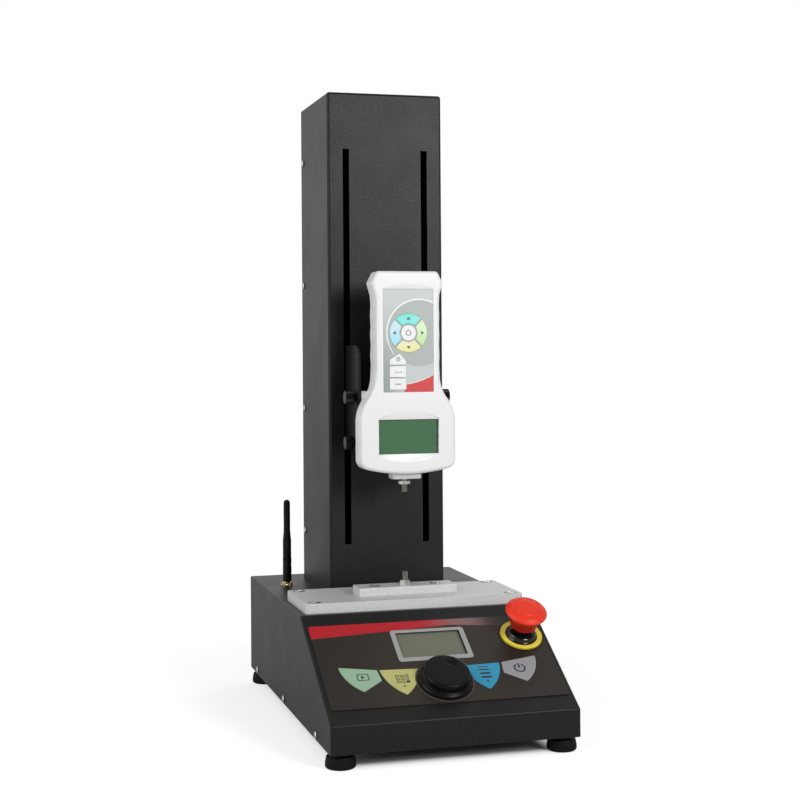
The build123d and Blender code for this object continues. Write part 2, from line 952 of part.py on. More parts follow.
def screw_bearing():
    """A shielded ball bearing: outer and inner ring with the shield set back between."""
    bore = journal_radius
    inner = bore + bearing_race
    outer = bearing_radius - bearing_race
    groove = bearing_groove
    profile = [
        (bore, 0),
        (inner, 0),
        (inner, groove),
        (outer, groove),
        (outer, 0),
        (bearing_radius, 0),
        (bearing_radius, bearing_width),
        (outer, bearing_width),
        (outer, bearing_width - groove),
        (inner, bearing_width - groove),
        (inner, bearing_width),
        (bore, bearing_width),
    ]
    return turned(profile)


def screw_bearings():
    lower = Pos(0, drive_y, lower_plate_top - bearing_width) * screw_bearing()
    upper = Pos(0, drive_y, upper_plate_bottom) * screw_bearing()
    return group([lower, upper])


def guide_rods():
    low = lower_plate_top - rod_seat_depth
    high = upper_plate_bottom + rod_seat_depth
    return group(rod_between(rod_radius, low, high, x, drive_y) for x in (-rod_offset, rod_offset))


def lead_screw():
    """The screw with a journal at each end; its lower end runs on into the motor."""
    journal = journal_radius - running_clearance
    thread_low = lower_plate_top + screw_end_gap
    thread_high = upper_plate_bottom - screw_end_gap
    screw = rod_between(lead_screw_radius, thread_low, thread_high)
    screw = chamfer(screw.edges().filter_by(GeomType.CIRCLE), screw_bevel)
    screw += rod_between(journal, deck_z, thread_high + journal_length)
    screw += rod_between(motor_end_radius, deck_z - motor_end_length, deck_z)
    return Pos(0, drive_y, 0) * screw


def drive_motor():
    """A square-bodied motor hung under the deck, with the boss that centres it."""
    top = deck_z - cover_sheet
    low = top - motor_length
    half = motor_width / 2
    body = box_between((-half, -half, low), (half, half, top))
    body = chamfer(body.edges().filter_by(Axis.Z), motor_corner)
    band_low, band_high = low + motor_end_band, top - motor_end_band
    waist = half - motor_waist
    groove = box_between((-half, -half, band_low), (half, half, band_high))
    body -= groove - box_between((-waist, -waist, band_low), (waist, waist, band_high))
    body += rod_between(motor_boss_radius, top, deck_z + motor_boss_height)
    bore_top = deck_z + motor_boss_height + overrun
    bore_low = deck_z - motor_end_length - motor_bore_spare
    body -= rod_between(motor_end_radius + running_clearance, bore_low, bore_top)
    body -= rod_between(journal_radius + screw_end_gap, deck_z - screw_end_gap, bore_top)
    return Pos(0, drive_y, 0) * body


def limit_switches():
    """Two switches on the left wall, one beyond each end of the carriage's travel."""
    size_x, size_y, size_z = switch_size
    wall = -column_width / 2 + column_sheet
    solids = []
    for z in (lower_plate_top + switch_above_plate, upper_plate_bottom - switch_below_plate):
        low = (wall, drive_y - size_y / 2, z - size_z / 2)
        body = box_between(low, (wall + size_x, drive_y + size_y / 2, z + size_z / 2))
        roller = Pos(wall + size_x, drive_y, z) * Cylinder(switch_roller_radius, switch_roller_height)
        solids.append(body + roller)
    return group(solids)


# Carriage and cheeks

def carriage():
    """The block on the rods: bushing bores, nut seat and a window cut through it."""
    front = drive_y - carriage_depth / 2
    low = (-cheek_inner, front, carriage_bottom)
    block = box_between(low, (cheek_inner, carriage_back_y, carriage_top))
    block = fillet(block.edges().filter_by(Axis.X), carriage_corner)
    low_z, high_z = carriage_bottom - overrun, carriage_top + overrun
    for x in (-rod_offset, rod_offset):
        block -= rod_between(bushing_radius - bushing_relief, low_z, high_z, x, drive_y)
        for z in (carriage_bottom, carriage_top - bushing_length):
            block -= rod_between(bushing_radius, z, z + bushing_length, x, drive_y)
    block -= rod_between(nut_radius, low_z, carriage_bottom + nut_length, 0, drive_y)
    block -= rod_between(lead_screw_radius + screw_room, low_z, high_z, 0, drive_y)
    middle_z = (carriage_bottom + nut_length + carriage_top) / 2
    window = Box(carriage_window_width, carriage_depth + overrun, carriage_window_height)
    block -= Pos(0, drive_y, middle_z) * window
    return drilled(block, cheek_screw_places())


def linear_bushings():
    solids = []
    for x in (-rod_offset, rod_offset):
        for z in (carriage_bottom, carriage_top - bushing_length):
            ring = rod_between(bushing_radius, z, z + bushing_length, x, drive_y)
            bore = rod_between(rod_radius + running_clearance, z, z + bushing_length, x, drive_y)
            solids.append(ring - bore)
    return group(solids)


def screw_nut():
    """The flanged nut under the carriage, its flange cut flat between the rods."""
    low = carriage_bottom - nut_flange_height
    body = rod_between(nut_radius, low, carriage_bottom + nut_length, 0, drive_y)
    flange = rod_between(nut_flange_radius, low, carriage_bottom, 0, drive_y)
    flats = Box(nut_flange_half_width * 2, nut_flange_radius * 2, nut_flange_height)
    flange &= Pos(0, drive_y, carriage_bottom - nut_flange_height / 2) * flats
    bore = rod_between(lead_screw_radius + running_clearance, low, carriage_bottom + nut_length, 0, drive_y)
    return body + flange - bore


def cheek_screw_places():
    middle = (carriage_bottom + carriage_top) / 2
    places = []
    for side in (-1, 1):
        for dz in (-cheek_screw_spread / 2, cheek_screw_spread / 2):
            for end in (-1, 1):
                y = drive_y + end * (carriage_depth / 2 - cheek_screw_inset)
                places.append((side * cheek_outer, y, middle + dz, side))
    return places


def cheek_plates():
    """The two plates that reach from the carriage through the slots to the gauge."""
    low = (cheek_inner, cheek_front_y, carriage_bottom)
    plate = box_between(low, (cheek_outer, carriage_back_y, carriage_top))
    plate = fillet(plate.edges().filter_by(Axis.X).group_by(Axis.Y)[0], cheek_corner)
    for z in thumb_heights:
        hole = Cylinder(thumb_shank_radius + thumb_clearance * 2, cheek_thickness * 4)
        plate -= outward(cheek_outer, thumb_y, z, 1) * hole
    return mirrored_pair(drilled(plate, cheek_screw_places()))


def carriage_screws():
    return group(outward(*place) * case_screw() for place in cheek_screw_places())


def thumb_screw():
    """A knurled head on a neck, with the shank that threads into the gauge's clamp box."""
    start = thumb_clearance
    neck = rod_between(thumb_neck_radius, start, start + thumb_neck_length)
    head_low = start + thumb_neck_length
    head = rod_between(thumb_head_radius, head_low, head_low + thumb_head_length)
    head = chamfer(head.edges().filter_by(GeomType.CIRCLE), thumb_head_bevel)
    for turn in PolarLocations(thumb_groove_circle, thumb_groove_count):
        head -= turn * Pos(0, 0, head_low) * Cylinder(thumb_groove_radius, thumb_head_length * 3)
    shank = rod_between(thumb_shank_radius, -thumb_shank_reach, head_low)
    return neck + head + shank


def thumb_screws():
    """The four thumb screws by name."""
    parts = {}
    for side, word in ((-1, "left"), (1, "right")):
        for z, level in zip(thumb_heights, ("lower", "upper")):
            place = outward(side * cheek_outer, thumb_y, z, side)
            parts[f"thumb_screw_{word}_{level}"] = place * thumb_screw()
    return parts


# Force gauge

def gauge_outline():
    """The gauge seen from the front, as a face in x and z."""
    def flare(side):
        """Two equal arcs that carry the neck's side out to the body's side."""
        step_x = (body_half - neck_half) / 2
        step_z = (neck_bottom - body_top) / 2
        radius = (step_x**2 + step_z**2) / (2 * step_x)
        mid = (side * (neck_half + step_x), body_top + step_z)
        upper_end = (side * neck_half, neck_bottom)
        lower_end = (side * body_half, body_top)
        half_turn = atan2(step_x, step_z)
        bow = radius * (1 - cos(half_turn))
        drop = radius * sin(half_turn)
        upper = ThreePointArc(upper_end, (side * (neck_half + bow), neck_bottom - drop), mid)
        lower = ThreePointArc(mid, (side * (body_half - bow), body_top + drop), lower_end)
        return [upper, lower]

    edges = [
        Line((-gauge_top_half, gauge_top), (gauge_top_half, gauge_top)),
        Line((gauge_top_half, gauge_top), (shoulder_half, shoulder_z)),
        Line((shoulder_half, shoulder_z), (neck_half, neck_top)),
        Line((neck_half, neck_top), (neck_half, neck_bottom)),
        *flare(1),
        Line((body_half, body_top), (body_half, crown_corner_z)),
        ThreePointArc((body_half, crown_corner_z), (0, crown_z), (-body_half, crown_corner_z)),
        Line((-body_half, crown_corner_z), (-body_half, body_top)),
        *flare(-1),
        Line((-neck_half, neck_bottom), (-neck_half, neck_top)),
        Line((-neck_half, neck_top), (-shoulder_half, shoulder_z)),
        Line((-shoulder_half, shoulder_z), (-gauge_top_half, gauge_top)),
    ]
    face = make_face(Curve() + edges)
    face = fillet(face.vertices().group_by(Axis.Y)[0], crown_corner_radius)
    shoulders = [v for v in face.vertices() if v.Y > neck_top - overrun]
    return fillet(shoulders, gauge_edge)


def grip_cuts():
    """The finger grooves down each side of the neck."""
    radius = (grip_width**2 / 4 + grip_depth**2) / (2 * grip_depth)
    pitch = (neck_top - neck_bottom) / grip_count
    cuts = []
    for side in (-1, 1):
        for i in range(grip_count):
            z = neck_bottom + pitch * (i + 0.5)
            x = side * (neck_half - grip_depth + radius)
            groove = facing_user(gauge_front_y) * Pos(x, z) * Circle(radius)
            cuts.append(extrude(groove, gauge_front_y - gauge_back_y))
    return group(cuts)


def gauge_key_faces():
    """The gauge's keys by name, as faces in x and z: four ring keys, a centre and three soft keys."""
    cx, cz = ring_key_center
    ring = Circle(ring_key_outer) - Circle(ring_key_inner)
    cross = Rectangle(ring_key_gap, ring_key_outer * 3) + Rectangle(ring_key_outer * 3, ring_key_gap)
    quarters = ring - Rot(0, 0, 45) * cross
    faces = {}
    for face in quarters.faces():
        middle = face.center()
        if abs(middle.X) > abs(middle.Y):
            name = "gauge_key_right" if middle.X > 0 else "gauge_key_left"
        else:
            name = "gauge_key_up" if middle.Y > 0 else "gauge_key_down"
        faces[name] = Pos(cx, cz) * face
    faces["gauge_key_centre"] = Pos(cx, cz) * Circle(ring_center_radius)
    for i, word in enumerate(("low", "middle", "high")):
        x = soft_key_left + soft_key_width / 2
        z = soft_key_bottom + soft_key_pitch * i + soft_key_height / 2
        cap = RectangleRounded(soft_key_width, soft_key_height, soft_key_corner)
        faces[f"gauge_soft_key_{word}"] = Pos(x, z) * (gable_key() if word == "high" else cap)
    return faces


def gable_key():
    """The top soft key: a rectangle whose upper edge rises to a ridge under the round pad."""
    half, low = soft_key_width / 2, -soft_key_height / 2
    outline = [
        (-half, low),
        (half, low),
        (half, low + soft_key_right_eave),
        (soft_key_ridge - half, low + soft_key_height),
        (-half, low + soft_key_eave),
    ]
    face = make_face(Polyline(*outline, close=True))
    return fillet(face.vertices(), soft_key_corner)


def gauge_key(face):
    return extrude(facing_user(gauge_front_y - key_rise) * face, -key_depth)


def keypad_face():
    middle = (keypad_top + keypad_bottom) / 2
    return Pos(0, middle) * Rectangle(keypad_half * 2, keypad_top - keypad_bottom)


def display_face(margin=0.0):
    middle = (display_top + display_bottom) / 2
    return Pos(0, middle) * Rectangle((display_half + margin) * 2, display_top - display_bottom + margin * 2)


def scoop(edge_z, direction, reach, rise, depth):
    """A hollow beside a window's edge: its far side is an arc and its floor slopes inwards."""
    apex = edge_z + direction * rise
    inside = edge_z - direction * depth
    left, right = (-reach, edge_z), (reach, edge_z)
    face = make_face(Curve() + [ThreePointArc(left, (0, apex), right), Line(right, left)])
    outside_y = gauge_front_y - overrun
    floor_y = gauge_front_y + depth
    column = extrude(facing_user(outside_y) * face, -overrun - depth)
    slope = [
        (outside_y, apex),
        (gauge_front_y, apex),
        (floor_y, edge_z),
        (floor_y, inside),
        (outside_y, inside),
    ]
    return column & extrude(side_profile(slope), reach, both=True)


def gauge_half(start_y, end_y, outer_face):
    """Half of the gauge's casing as a solid, its outer face (first or last in y) rounded off."""
    block = extrude(facing_user(start_y) * gauge_outline(), start_y - end_y)
    rim = block.faces().sort_by(Axis.Y)[outer_face]
    return fillet(rim.edges(), gauge_edge) - grip_cuts()


def key_openings():
    """The holes for the gauge's keys, through the casing's front wall."""
    start = facing_user(gauge_front_y - overrun)
    depth = gauge_wall + overrun * 2
    return group(extrude(start * offset(face, key_gap), -depth) for face in gauge_key_faces().values())


def gauge_front_shell():
    shell = gauge_half(gauge_front_y, gauge_parting_y, 0)
    room = offset(gauge_outline(), -gauge_wall)
    shell -= extrude(facing_user(gauge_front_y + gauge_wall) * room, gauge_front_y - gauge_parting_y)
    shell -= extrude(facing_user(gauge_front_y) * keypad_face(), -overlay_thickness)
    shell -= extrude(facing_user(gauge_front_y) * display_face(), -gauge_wall)
    reach = display_half + scoop_reach
    shell -= scoop(display_top, 1, reach, scoop_rise, scoop_depth)
    shell -= scoop(display_bottom, -1, reach, scoop_rise, scoop_depth)
    shell -= scoop(keypad_top, 1, keypad_half, keypad_scoop_rise, keypad_scoop_depth)
    return shell - key_openings() - collar_block(shell_gap)


def clamp_box():
    """The block on the gauge's back between the cheeks, hollow but for its middle and ends."""
    low = (-clamp_box_half, gauge_back_y - clamp_box_root, clamp_box_bottom)
    box = box_between(low, (clamp_box_half, clamp_box_back_y, clamp_box_top))
    box = fillet(box.faces().sort_by(Axis.Y)[-1].edges(), clamp_box_corner)
    low = (clamp_rib_half, gauge_back_y, clamp_box_bottom + gauge_wall)
    wide = clamp_box_half - thumb_shank_reach - gauge_wall
    high = (wide, clamp_box_back_y - gauge_wall, clamp_box_top - gauge_wall)
    return box - mirrored_pair(box_between(low, high))


def gauge_rear_shell():
    """The rear casing with the clamp box and the load cell's pads."""
    shell = gauge_half(gauge_parting_y, gauge_back_y, -1) + clamp_box()
    room = offset(gauge_outline(), -gauge_wall)
    shell -= extrude(facing_user(gauge_parting_y) * room, gauge_parting_y - gauge_back_y + gauge_wall)
    drill = Cylinder(thumb_shank_radius + thumb_clearance, (thumb_shank_reach + overrun) * 2)
    for side in (-1, 1):
        for z in thumb_heights:
            shell -= outward(side * cheek_outer, thumb_y, z, side) * drill
    shell -= collar_block(shell_gap)
    pad_y = load_axis_y + cell_depth / 2
    pad_root = gauge_back_y - gauge_wall / 2
    pad = Pos(0, (pad_y + pad_root) / 2, 0) * Rot(90, 0, 0) * Cylinder(cell_pad_radius, pad_root - pad_y)
    for rise in cell_pad_rises:
        shell += Pos(0, 0, cell_bottom + rise) * pad
    return shell


def gauge_overlay():
    return extrude(facing_user(gauge_front_y) * keypad_face(), -overlay_thickness) - key_openings()


def gauge_display():
    """The display's glass and module on the board that also carries the keys' domes."""
    glass = extrude(facing_user(gauge_front_y + display_recess) * display_face(-sheet_gap), -gauge_wall)
    module_y = gauge_front_y + gauge_wall
    module = extrude(facing_user(module_y) * display_face(display_module_rim), -display_module_thickness)
    low = (-gauge_board_half, module_y + display_module_thickness, display_bottom - display_module_rim)
    high = (gauge_board_half, low[1] + board_thickness, gauge_board_top)
    return glass + module + box_between(low, high)


def load_cell():
    """A bending beam with its two slots, seated on the rear casing's pads."""
    low = (-cell_width / 2, load_axis_y - cell_depth / 2, cell_bottom)
    high = (cell_width / 2, load_axis_y + cell_depth / 2, cell_bottom + cell_height)
    beam = box_between(low, high)
    for direction in (-1, 1):
        x, z = direction * cell_slot_shift, direction * cell_slot_rise
        slot = Box(cell_width, cell_depth + overrun, cell_slot)
        beam -= Pos(x, load_axis_y, cell_bottom + cell_height / 2 + z) * slot
    return beam - rod_between(stud_bore, cell_bottom - overrun, cell_bottom + cell_stud_depth, 0, load_axis_y)


def collar_block(gap):
    wide = collar_width + gap * 2
    deep = collar_depth + gap * 2
    face = Pos(0, load_axis_y + collar_shift, collar_bottom) * RectangleRounded(wide, deep, collar_corner)
    return extrude(face, collar_top - collar_bottom + gap)


def gauge_collar():
    collar = collar_block(0)
    collar = chamfer(collar.edges().group_by(Axis.Z)[0], collar_bevel)
    return collar - rod_between(stud_bore, collar_bottom - overrun, collar_top + overrun, 0, load_axis_y)


def upper_stud():
    thread_high = collar_bottom - upper_nut_gap - upper_nut_height - stud_relief
    thread = rod_between(stud_radius, upper_stud_bottom, thread_high, 0, load_axis_y)
    thread = chamfer(thread.edges().group_by(Axis.Z)[0], stud_bevel)
    top = upper_stud_bottom + upper_stud_length
    return thread + rod_between(stud_root_radius, thread_high, top, 0, load_axis_y)


def stud_nut():
    """The round nut on the gauge's stud, notched round its rim for grip."""
    nut = Cylinder(upper_nut_radius, upper_nut_height) - Cylinder(stud_bore, upper_nut_height)
    for turn in PolarLocations(upper_nut_notch_circle, upper_nut_notches):
        nut -= turn * Cylinder(upper_nut_notch_radius, upper_nut_height * 2)
    return Pos(0, load_axis_y, collar_bottom - upper_nut_gap - upper_nut_height / 2) * nut


# Antenna

def antenna_socket():
    """The brass socket through the deck with its nut on top."""
    stem_radius = antenna_hole_radius - screw_clearance
    nut = Pos(0, 0, deck_z) * hex_nut(antenna_nut_width, antenna_nut_height, stem_radius)
    low = deck_z - antenna_socket_drop
    stem = rod_between(stem_radius, low, deck_z + antenna_barrel_start + antenna_thread_length)
    ring = rod_between(antenna_socket_ring, low, deck_z - cover_sheet)
    return Pos(antenna_x, antenna_y, 0) * (nut + stem + ring)


def antenna_barrel():
    """The lower sleeve that turns on the socket, forked at the top round the whip's tongue."""
    radius = antenna_barrel_radius
    low = deck_z + antenna_barrel_start
    joint = deck_z + antenna_joint_rise
    body = rod_between(radius, low, joint)
    ears = Pos(0, 0, joint) * Rot(90, 0, 0) * Cylinder(radius, radius * 2)
    ears &= rod_between(radius, joint - radius, joint + radius)
    body += ears
    slot_low = (-radius * 2, -antenna_ear_gap / 2, joint - radius)
    body -= box_between(slot_low, (radius * 2, antenna_ear_gap / 2, joint + radius * 2))
    body += Pos(0, 0, joint) * Rot(90, 0, 0) * Cylinder(antenna_pin_radius, radius)
    thread_room = low + antenna_thread_length + antenna_thread_gap
    body -= rod_between(antenna_hole_radius, low - overrun, thread_room)
    return Pos(antenna_x, antenna_y, 0) * body


def antenna_whip():
    """The tapered whip with its tongue on the fork's pin."""
    radius = antenna_barrel_radius
    joint = deck_z + antenna_joint_rise
    top = deck_z + antenna_height
    start = joint + radius + antenna_tongue_gap
    half = antenna_ear_gap / 2 - antenna_tongue_gap
    profile = [
        (0, start),
        (antenna_whip_radius, start),
        (antenna_whip_radius, joint + antenna_taper_start),
        (antenna_tip_radius, joint + antenna_taper_end),
        (antenna_tip_radius, top - antenna_tip_radius),
    ]
    shaft_edges = [Line(a, b) for a, b in zip(profile, profile[1:])]
    bend = antenna_tip_radius * (1 - sin(pi / 4))
    tip = ThreePointArc(profile[-1], (antenna_tip_radius - bend, top - bend), (0, top))
    face = make_face(Curve() + shaft_edges + [tip, Line((0, top), (0, start))])
    whip = revolve(Plane.XZ * face, Axis.Z)
    reach = radius - antenna_tongue_gap
    across = Pos(0, 0, joint) * Rot(90, 0, 0)
    tongue = across * Cylinder(reach, half * 2) + box_between((-reach, -half, joint), (reach, half, start))
    tongue -= across * Cylinder(antenna_pin_radius + running_clearance, half * 2)
    return Pos(antenna_x, antenna_y, 0) * (whip + tongue)


def power_jack():
    """The round power socket in the rear panel, with its centre pin."""
    rear = back_y - rear_panel_inset
    flange = rod_between(jack_flange_radius, 0, jack_flange_thickness)
    body = rod_between(jack_body_radius, -jack_body_length, 0)
    jack = flange + body - rod_between(jack_bore_radius, -jack_bore_depth, jack_flange_thickness)
    jack += rod_between(jack_pin_radius, -jack_bore_depth, 0)
    return Pos(jack_x, rear, base_bottom + jack_rise) * Rot(-90, 0, 0) * jack


def all_parts():
    """Every piece by its node's name."""
    parts = {
        "base_cover": base_cover(),
        "base_pan": base_pan(),
        "rubber_feet": rubber_feet(),
        "case_screws": case_screws(),
        "table_screws": table_screws(),
        "panel_overlay": panel_overlay(),
        "panel_display": panel_display(),
        "control_board": control_board(),
        "knob_encoder": knob_encoder(),
        "jog_knob": jog_knob(),
        "stop_body": stop_body(),
        "stop_ring": stop_ring(),
        "stop_plunger": stop_plunger(),
        "stop_head": stop_head(),
        "table_plate": table_plate(),
        "fixture_block": fixture_block(),
        "lower_stud": lower_stud(),
        "lower_nut": lower_nut(),
        "column_cover": column_cover(),
        "column_back": column_back(),
        "lower_bearing_plate": lower_bearing_plate(),
        "upper_bearing_plate": upper_bearing_plate(),
        "screw_bearings": screw_bearings(),
        "guide_rods": guide_rods(),
        "lead_screw": lead_screw(),
        "drive_motor": drive_motor(),
        "limit_switches": limit_switches(),
        "carriage": carriage(),
        "linear_bushings": linear_bushings(),
        "screw_nut": screw_nut(),
        "cheek_plates": cheek_plates(),
        "carriage_screws": carriage_screws(),
        "gauge_front_shell": gauge_front_shell(),
        "gauge_rear_shell": gauge_rear_shell(),
        "gauge_overlay": gauge_overlay(),
        "gauge_display": gauge_display(),
        "load_cell": load_cell(),
        "gauge_collar": gauge_collar(),
        "upper_stud": upper_stud(),
        "stud_nut": stud_nut(),
        "antenna_socket": antenna_socket(),
        "antenna_barrel": antenna_barrel(),
        "antenna_whip": antenna_whip(),
        "power_jack": power_jack(),
    }
    parts.update(thumb_screws())
    for name, face in panel_keys().items():
        parts[name] = panel_key(face)
    for name, face in gauge_key_faces().items():
        parts[name] = gauge_key(face)
    return parts


os.makedirs("parts", exist_ok=True)
for name, solid in all_parts().items():
    export_step(solid, f"parts/{name}.step")
    print(name, len(solid.solids()))
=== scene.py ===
# %% [markdown]
# # A bench force-test stand
# The stand is a black sheet-metal base with a sloping control panel, a column with two slots, and a
# white force gauge that the column's carriage moves up and down.
# The shapes that matter for fit and motion were made in CAD, so this script starts from them.
# It adds what a camera sees: finishes, prints, threads, knurls and softened edges.

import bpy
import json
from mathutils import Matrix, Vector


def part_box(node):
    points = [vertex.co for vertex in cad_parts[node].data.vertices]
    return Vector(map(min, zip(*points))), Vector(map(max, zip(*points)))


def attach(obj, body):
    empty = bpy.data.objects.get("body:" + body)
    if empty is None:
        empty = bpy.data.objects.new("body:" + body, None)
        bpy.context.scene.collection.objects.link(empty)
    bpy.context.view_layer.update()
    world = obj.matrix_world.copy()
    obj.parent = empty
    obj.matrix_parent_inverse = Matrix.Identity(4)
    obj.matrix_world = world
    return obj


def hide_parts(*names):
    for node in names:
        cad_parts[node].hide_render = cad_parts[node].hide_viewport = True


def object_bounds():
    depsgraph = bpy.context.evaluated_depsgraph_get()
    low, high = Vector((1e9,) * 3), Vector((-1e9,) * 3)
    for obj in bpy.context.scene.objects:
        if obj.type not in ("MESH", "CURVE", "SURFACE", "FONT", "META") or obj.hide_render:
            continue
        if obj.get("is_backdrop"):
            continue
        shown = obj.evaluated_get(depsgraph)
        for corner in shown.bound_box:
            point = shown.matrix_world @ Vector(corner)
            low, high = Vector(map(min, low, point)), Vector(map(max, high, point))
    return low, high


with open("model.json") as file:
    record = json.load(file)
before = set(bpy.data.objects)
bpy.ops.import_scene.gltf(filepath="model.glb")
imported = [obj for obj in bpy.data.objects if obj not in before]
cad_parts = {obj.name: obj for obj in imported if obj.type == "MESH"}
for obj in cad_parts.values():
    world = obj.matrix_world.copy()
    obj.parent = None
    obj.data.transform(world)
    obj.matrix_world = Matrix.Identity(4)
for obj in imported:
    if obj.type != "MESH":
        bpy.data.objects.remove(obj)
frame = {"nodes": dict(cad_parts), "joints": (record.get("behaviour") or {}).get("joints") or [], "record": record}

# %% Tools and units
import json
from math import atan2, cos, pi, radians, sin, tau

import bmesh
import bpy
from mathutils import Matrix, Vector

mm = 0.001
nodes = frame["nodes"]
joints = {joint["name"]: joint for joint in frame["joints"]}
scene = bpy.context.scene
cad_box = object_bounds()
print("the CAD box is", [round(v, 4) for corner in cad_box for v in corner])

# %% [markdown]
# ## The camera
# A photograph fixes where the viewer stood. The stand was seen from its left front, with the lens
# level and the picture shifted down, as product photographers do to keep uprights parallel.
# Tilting the camera would make the column lean, so the shift of the lens is used instead.

# %% Place the camera
picture_px = 800
focal_px = 1528.4
centre_px = (398.6, 348.6)
camera_place = Vector((-0.4246, -1.5333, 0.3789))
camera_yaw = radians(15.54)
camera_roll = radians(-0.39)


def place_camera():
    data = bpy.data.cameras.new("studio_camera")
    data.lens = data.sensor_width * focal_px / picture_px
    data.shift_x = (picture_px / 2 - centre_px[0]) / picture_px
    data.shift_y = (centre_px[1] - picture_px / 2) / picture_px
    camera = bpy.data.objects.new("studio_camera", data)
    scene.collection.objects.link(camera)
    upright = Matrix.Rotation(-camera_yaw, 4, "Z") @ Matrix.Rotation(pi / 2, 4, "X")
    camera.matrix_world = Matrix.Translation(camera_place) @ upright @ Matrix.Rotation(camera_roll, 4, "Z")
    scene.camera = camera
    return camera


camera = place_camera()
print("lens", round(camera.data.lens, 1), "mm, shift", round(camera.data.shift_y, 4))

# %% [markdown]
# ## Small helpers for shader nodes
# Every finish below is a node tree. Writing each link by hand hides what the tree does, so a few
# helpers carry it: one adds a node and feeds its inputs with links or numbers, one makes a function
# for each kind of sum, one mixes two colours by a mask, one fades between two values and one reads
# object coordinates. Those are in metres and stay with the object.

# %% Node helpers
def feed(tree, node, inputs):
    """Gives each named input of a node a link from another socket, or a plain value."""
    for name, value in inputs.items():
        if isinstance(value, bpy.types.NodeSocket):
            tree.links.new(value, node.inputs[name])
        else:
            node.inputs[name].default_value = value
    return node


def add_node(tree, kind, inputs=None, **settings):
    """A new node with its settings and what feeds its inputs."""
    node = tree.nodes.new(kind)
    for name, setting in settings.items():
        setattr(node, name, setting)
    return feed(tree, node, inputs or {})


def operation(kind):
    """A function that adds one kind of Math node, whose two inputs may be numbers or sockets."""
    def add_operation(tree, a, b=0.0):
        return add_node(tree, "ShaderNodeMath", {0: a, 1: b}, operation=kind).outputs[0]
    return add_operation


added, difference, product, larger = map(operation, ("ADD", "SUBTRACT", "MULTIPLY", "MAXIMUM"))
above, below, absolute = map(operation, ("GREATER_THAN", "LESS_THAN", "ABSOLUTE"))
to_power, square_root = map(operation, ("POWER", "SQRT"))


def inverted(tree, mask):
    """1 where a mask is 0, and 0 where it is 1."""
    return difference(tree, 1.0, mask)


def apart(tree, value, place):
    """How far a value is from a place, to either side."""
    return absolute(tree, difference(tree, value, place))


def distance_from(tree, x, y, centre=(0.0, 0.0)):
    """How far each point is from a centre, which is given in millimetres."""
    squares = [to_power(tree, difference(tree, value, middle * mm), 2.0)
               for value, middle in zip((x, y), centre)]
    return square_root(tree, added(tree, *squares))


def mixed(tree, mask, first, second):
    """The first colour where the mask is 0 and the second where it is 1."""
    first, second = ((*colour, 1.0) if isinstance(colour, tuple) else colour for colour in (first, second))
    return add_node(tree, "ShaderNodeMix", {"Factor": mask, 6: first, 7: second}, data_type="RGBA").outputs[2]


def faded(tree, value, low, high):
    """0 below low, 1 above high, and a smooth change between."""
    return add_node(tree, "ShaderNodeMapRange", {"Value": value, "From Min": low, "From Max": high},
                    interpolation_type="SMOOTHSTEP").outputs["Result"]


def place_of(tree, turn=0.0, origin=(0.0, 0.0, 0.0)):
    """The x, y and z of each surface point, from an origin and turned about X."""
    place = add_node(tree, "ShaderNodeTexCoord").outputs["Object"]
    for change in ({"Location": tuple(-v for v in origin)}, {"Rotation": (turn, 0.0, 0.0)}):
        place = add_node(tree, "ShaderNodeMapping", {"Vector": place, **change}).outputs["Vector"]
    return tuple(add_node(tree, "ShaderNodeSeparateXYZ", {"Vector": place}).outputs)


print("node helpers are ready")

# %% [markdown]
# ## Two effects that many finishes share
# Powder coat, moulded plastic and ground metal all have a fine grain, and all carry the soft
# patches that handling and uneven pressing leave. Both are node groups, so that each material
# sets only how large and how strong they are.
# The groups put out masks from 0 to 1, and each material decides what its mask changes.

# %% Shared node groups
axis_inputs = ("Along X", "Along Y", "Along Z")


def new_group(name, inputs):
    """An empty group with float inputs, one mask output and its end nodes."""
    tree = bpy.data.node_groups.new(name, "ShaderNodeTree")
    for label, value in inputs.items():
        socket = tree.interface.new_socket(label, in_out="INPUT", socket_type="NodeSocketFloat")
        socket.default_value = value
    tree.interface.new_socket("Mask", in_out="OUTPUT", socket_type="NodeSocketFloat")
    return tree, tree.nodes.new("NodeGroupInput"), tree.nodes.new("NodeGroupOutput")


def noise_mask(tree, place, scale, low, high, **shape):
    """Noise at a place, stretched to a mask from 0 to 1."""
    noise = add_node(tree, "ShaderNodeTexNoise", {"Vector": place, "Scale": scale, **shape})
    return faded(tree, noise.outputs["Fac"], low, high)


def build_grain():
    """Fine grain that can be stretched along any axis, as brushing or grinding does."""
    tree, given, result = new_group("fine_grain", {"Scale": 800.0, **dict.fromkeys(axis_inputs, 1.0)})
    place = add_node(tree, "ShaderNodeTexCoord").outputs["Object"]
    stretch = {axis: given.outputs[label] for axis, label in zip("XYZ", axis_inputs)}
    along = add_node(tree, "ShaderNodeCombineXYZ", stretch)
    scaled = add_node(tree, "ShaderNodeVectorMath", {0: place, 1: along.outputs[0]}, operation="MULTIPLY")
    mask = noise_mask(tree, scaled.outputs[0], given.outputs["Scale"], 0.3, 0.7, Detail=3.0, Roughness=0.6)
    feed(tree, result, {"Mask": mask})
    return tree


def build_patches():
    """Soft, wide patches, a few centimetres across."""
    tree, given, result = new_group("soft_patches", {"Scale": 14.0})
    place = add_node(tree, "ShaderNodeTexCoord").outputs["Object"]
    mask = noise_mask(tree, place, given.outputs["Scale"], 0.25, 0.75, Detail=4.0, Roughness=0.55,
                      Distortion=0.4)
    feed(tree, result, {"Mask": mask})
    return tree


grain_group = build_grain()
patch_group = build_patches()
print("groups", grain_group.name, "and", patch_group.name)

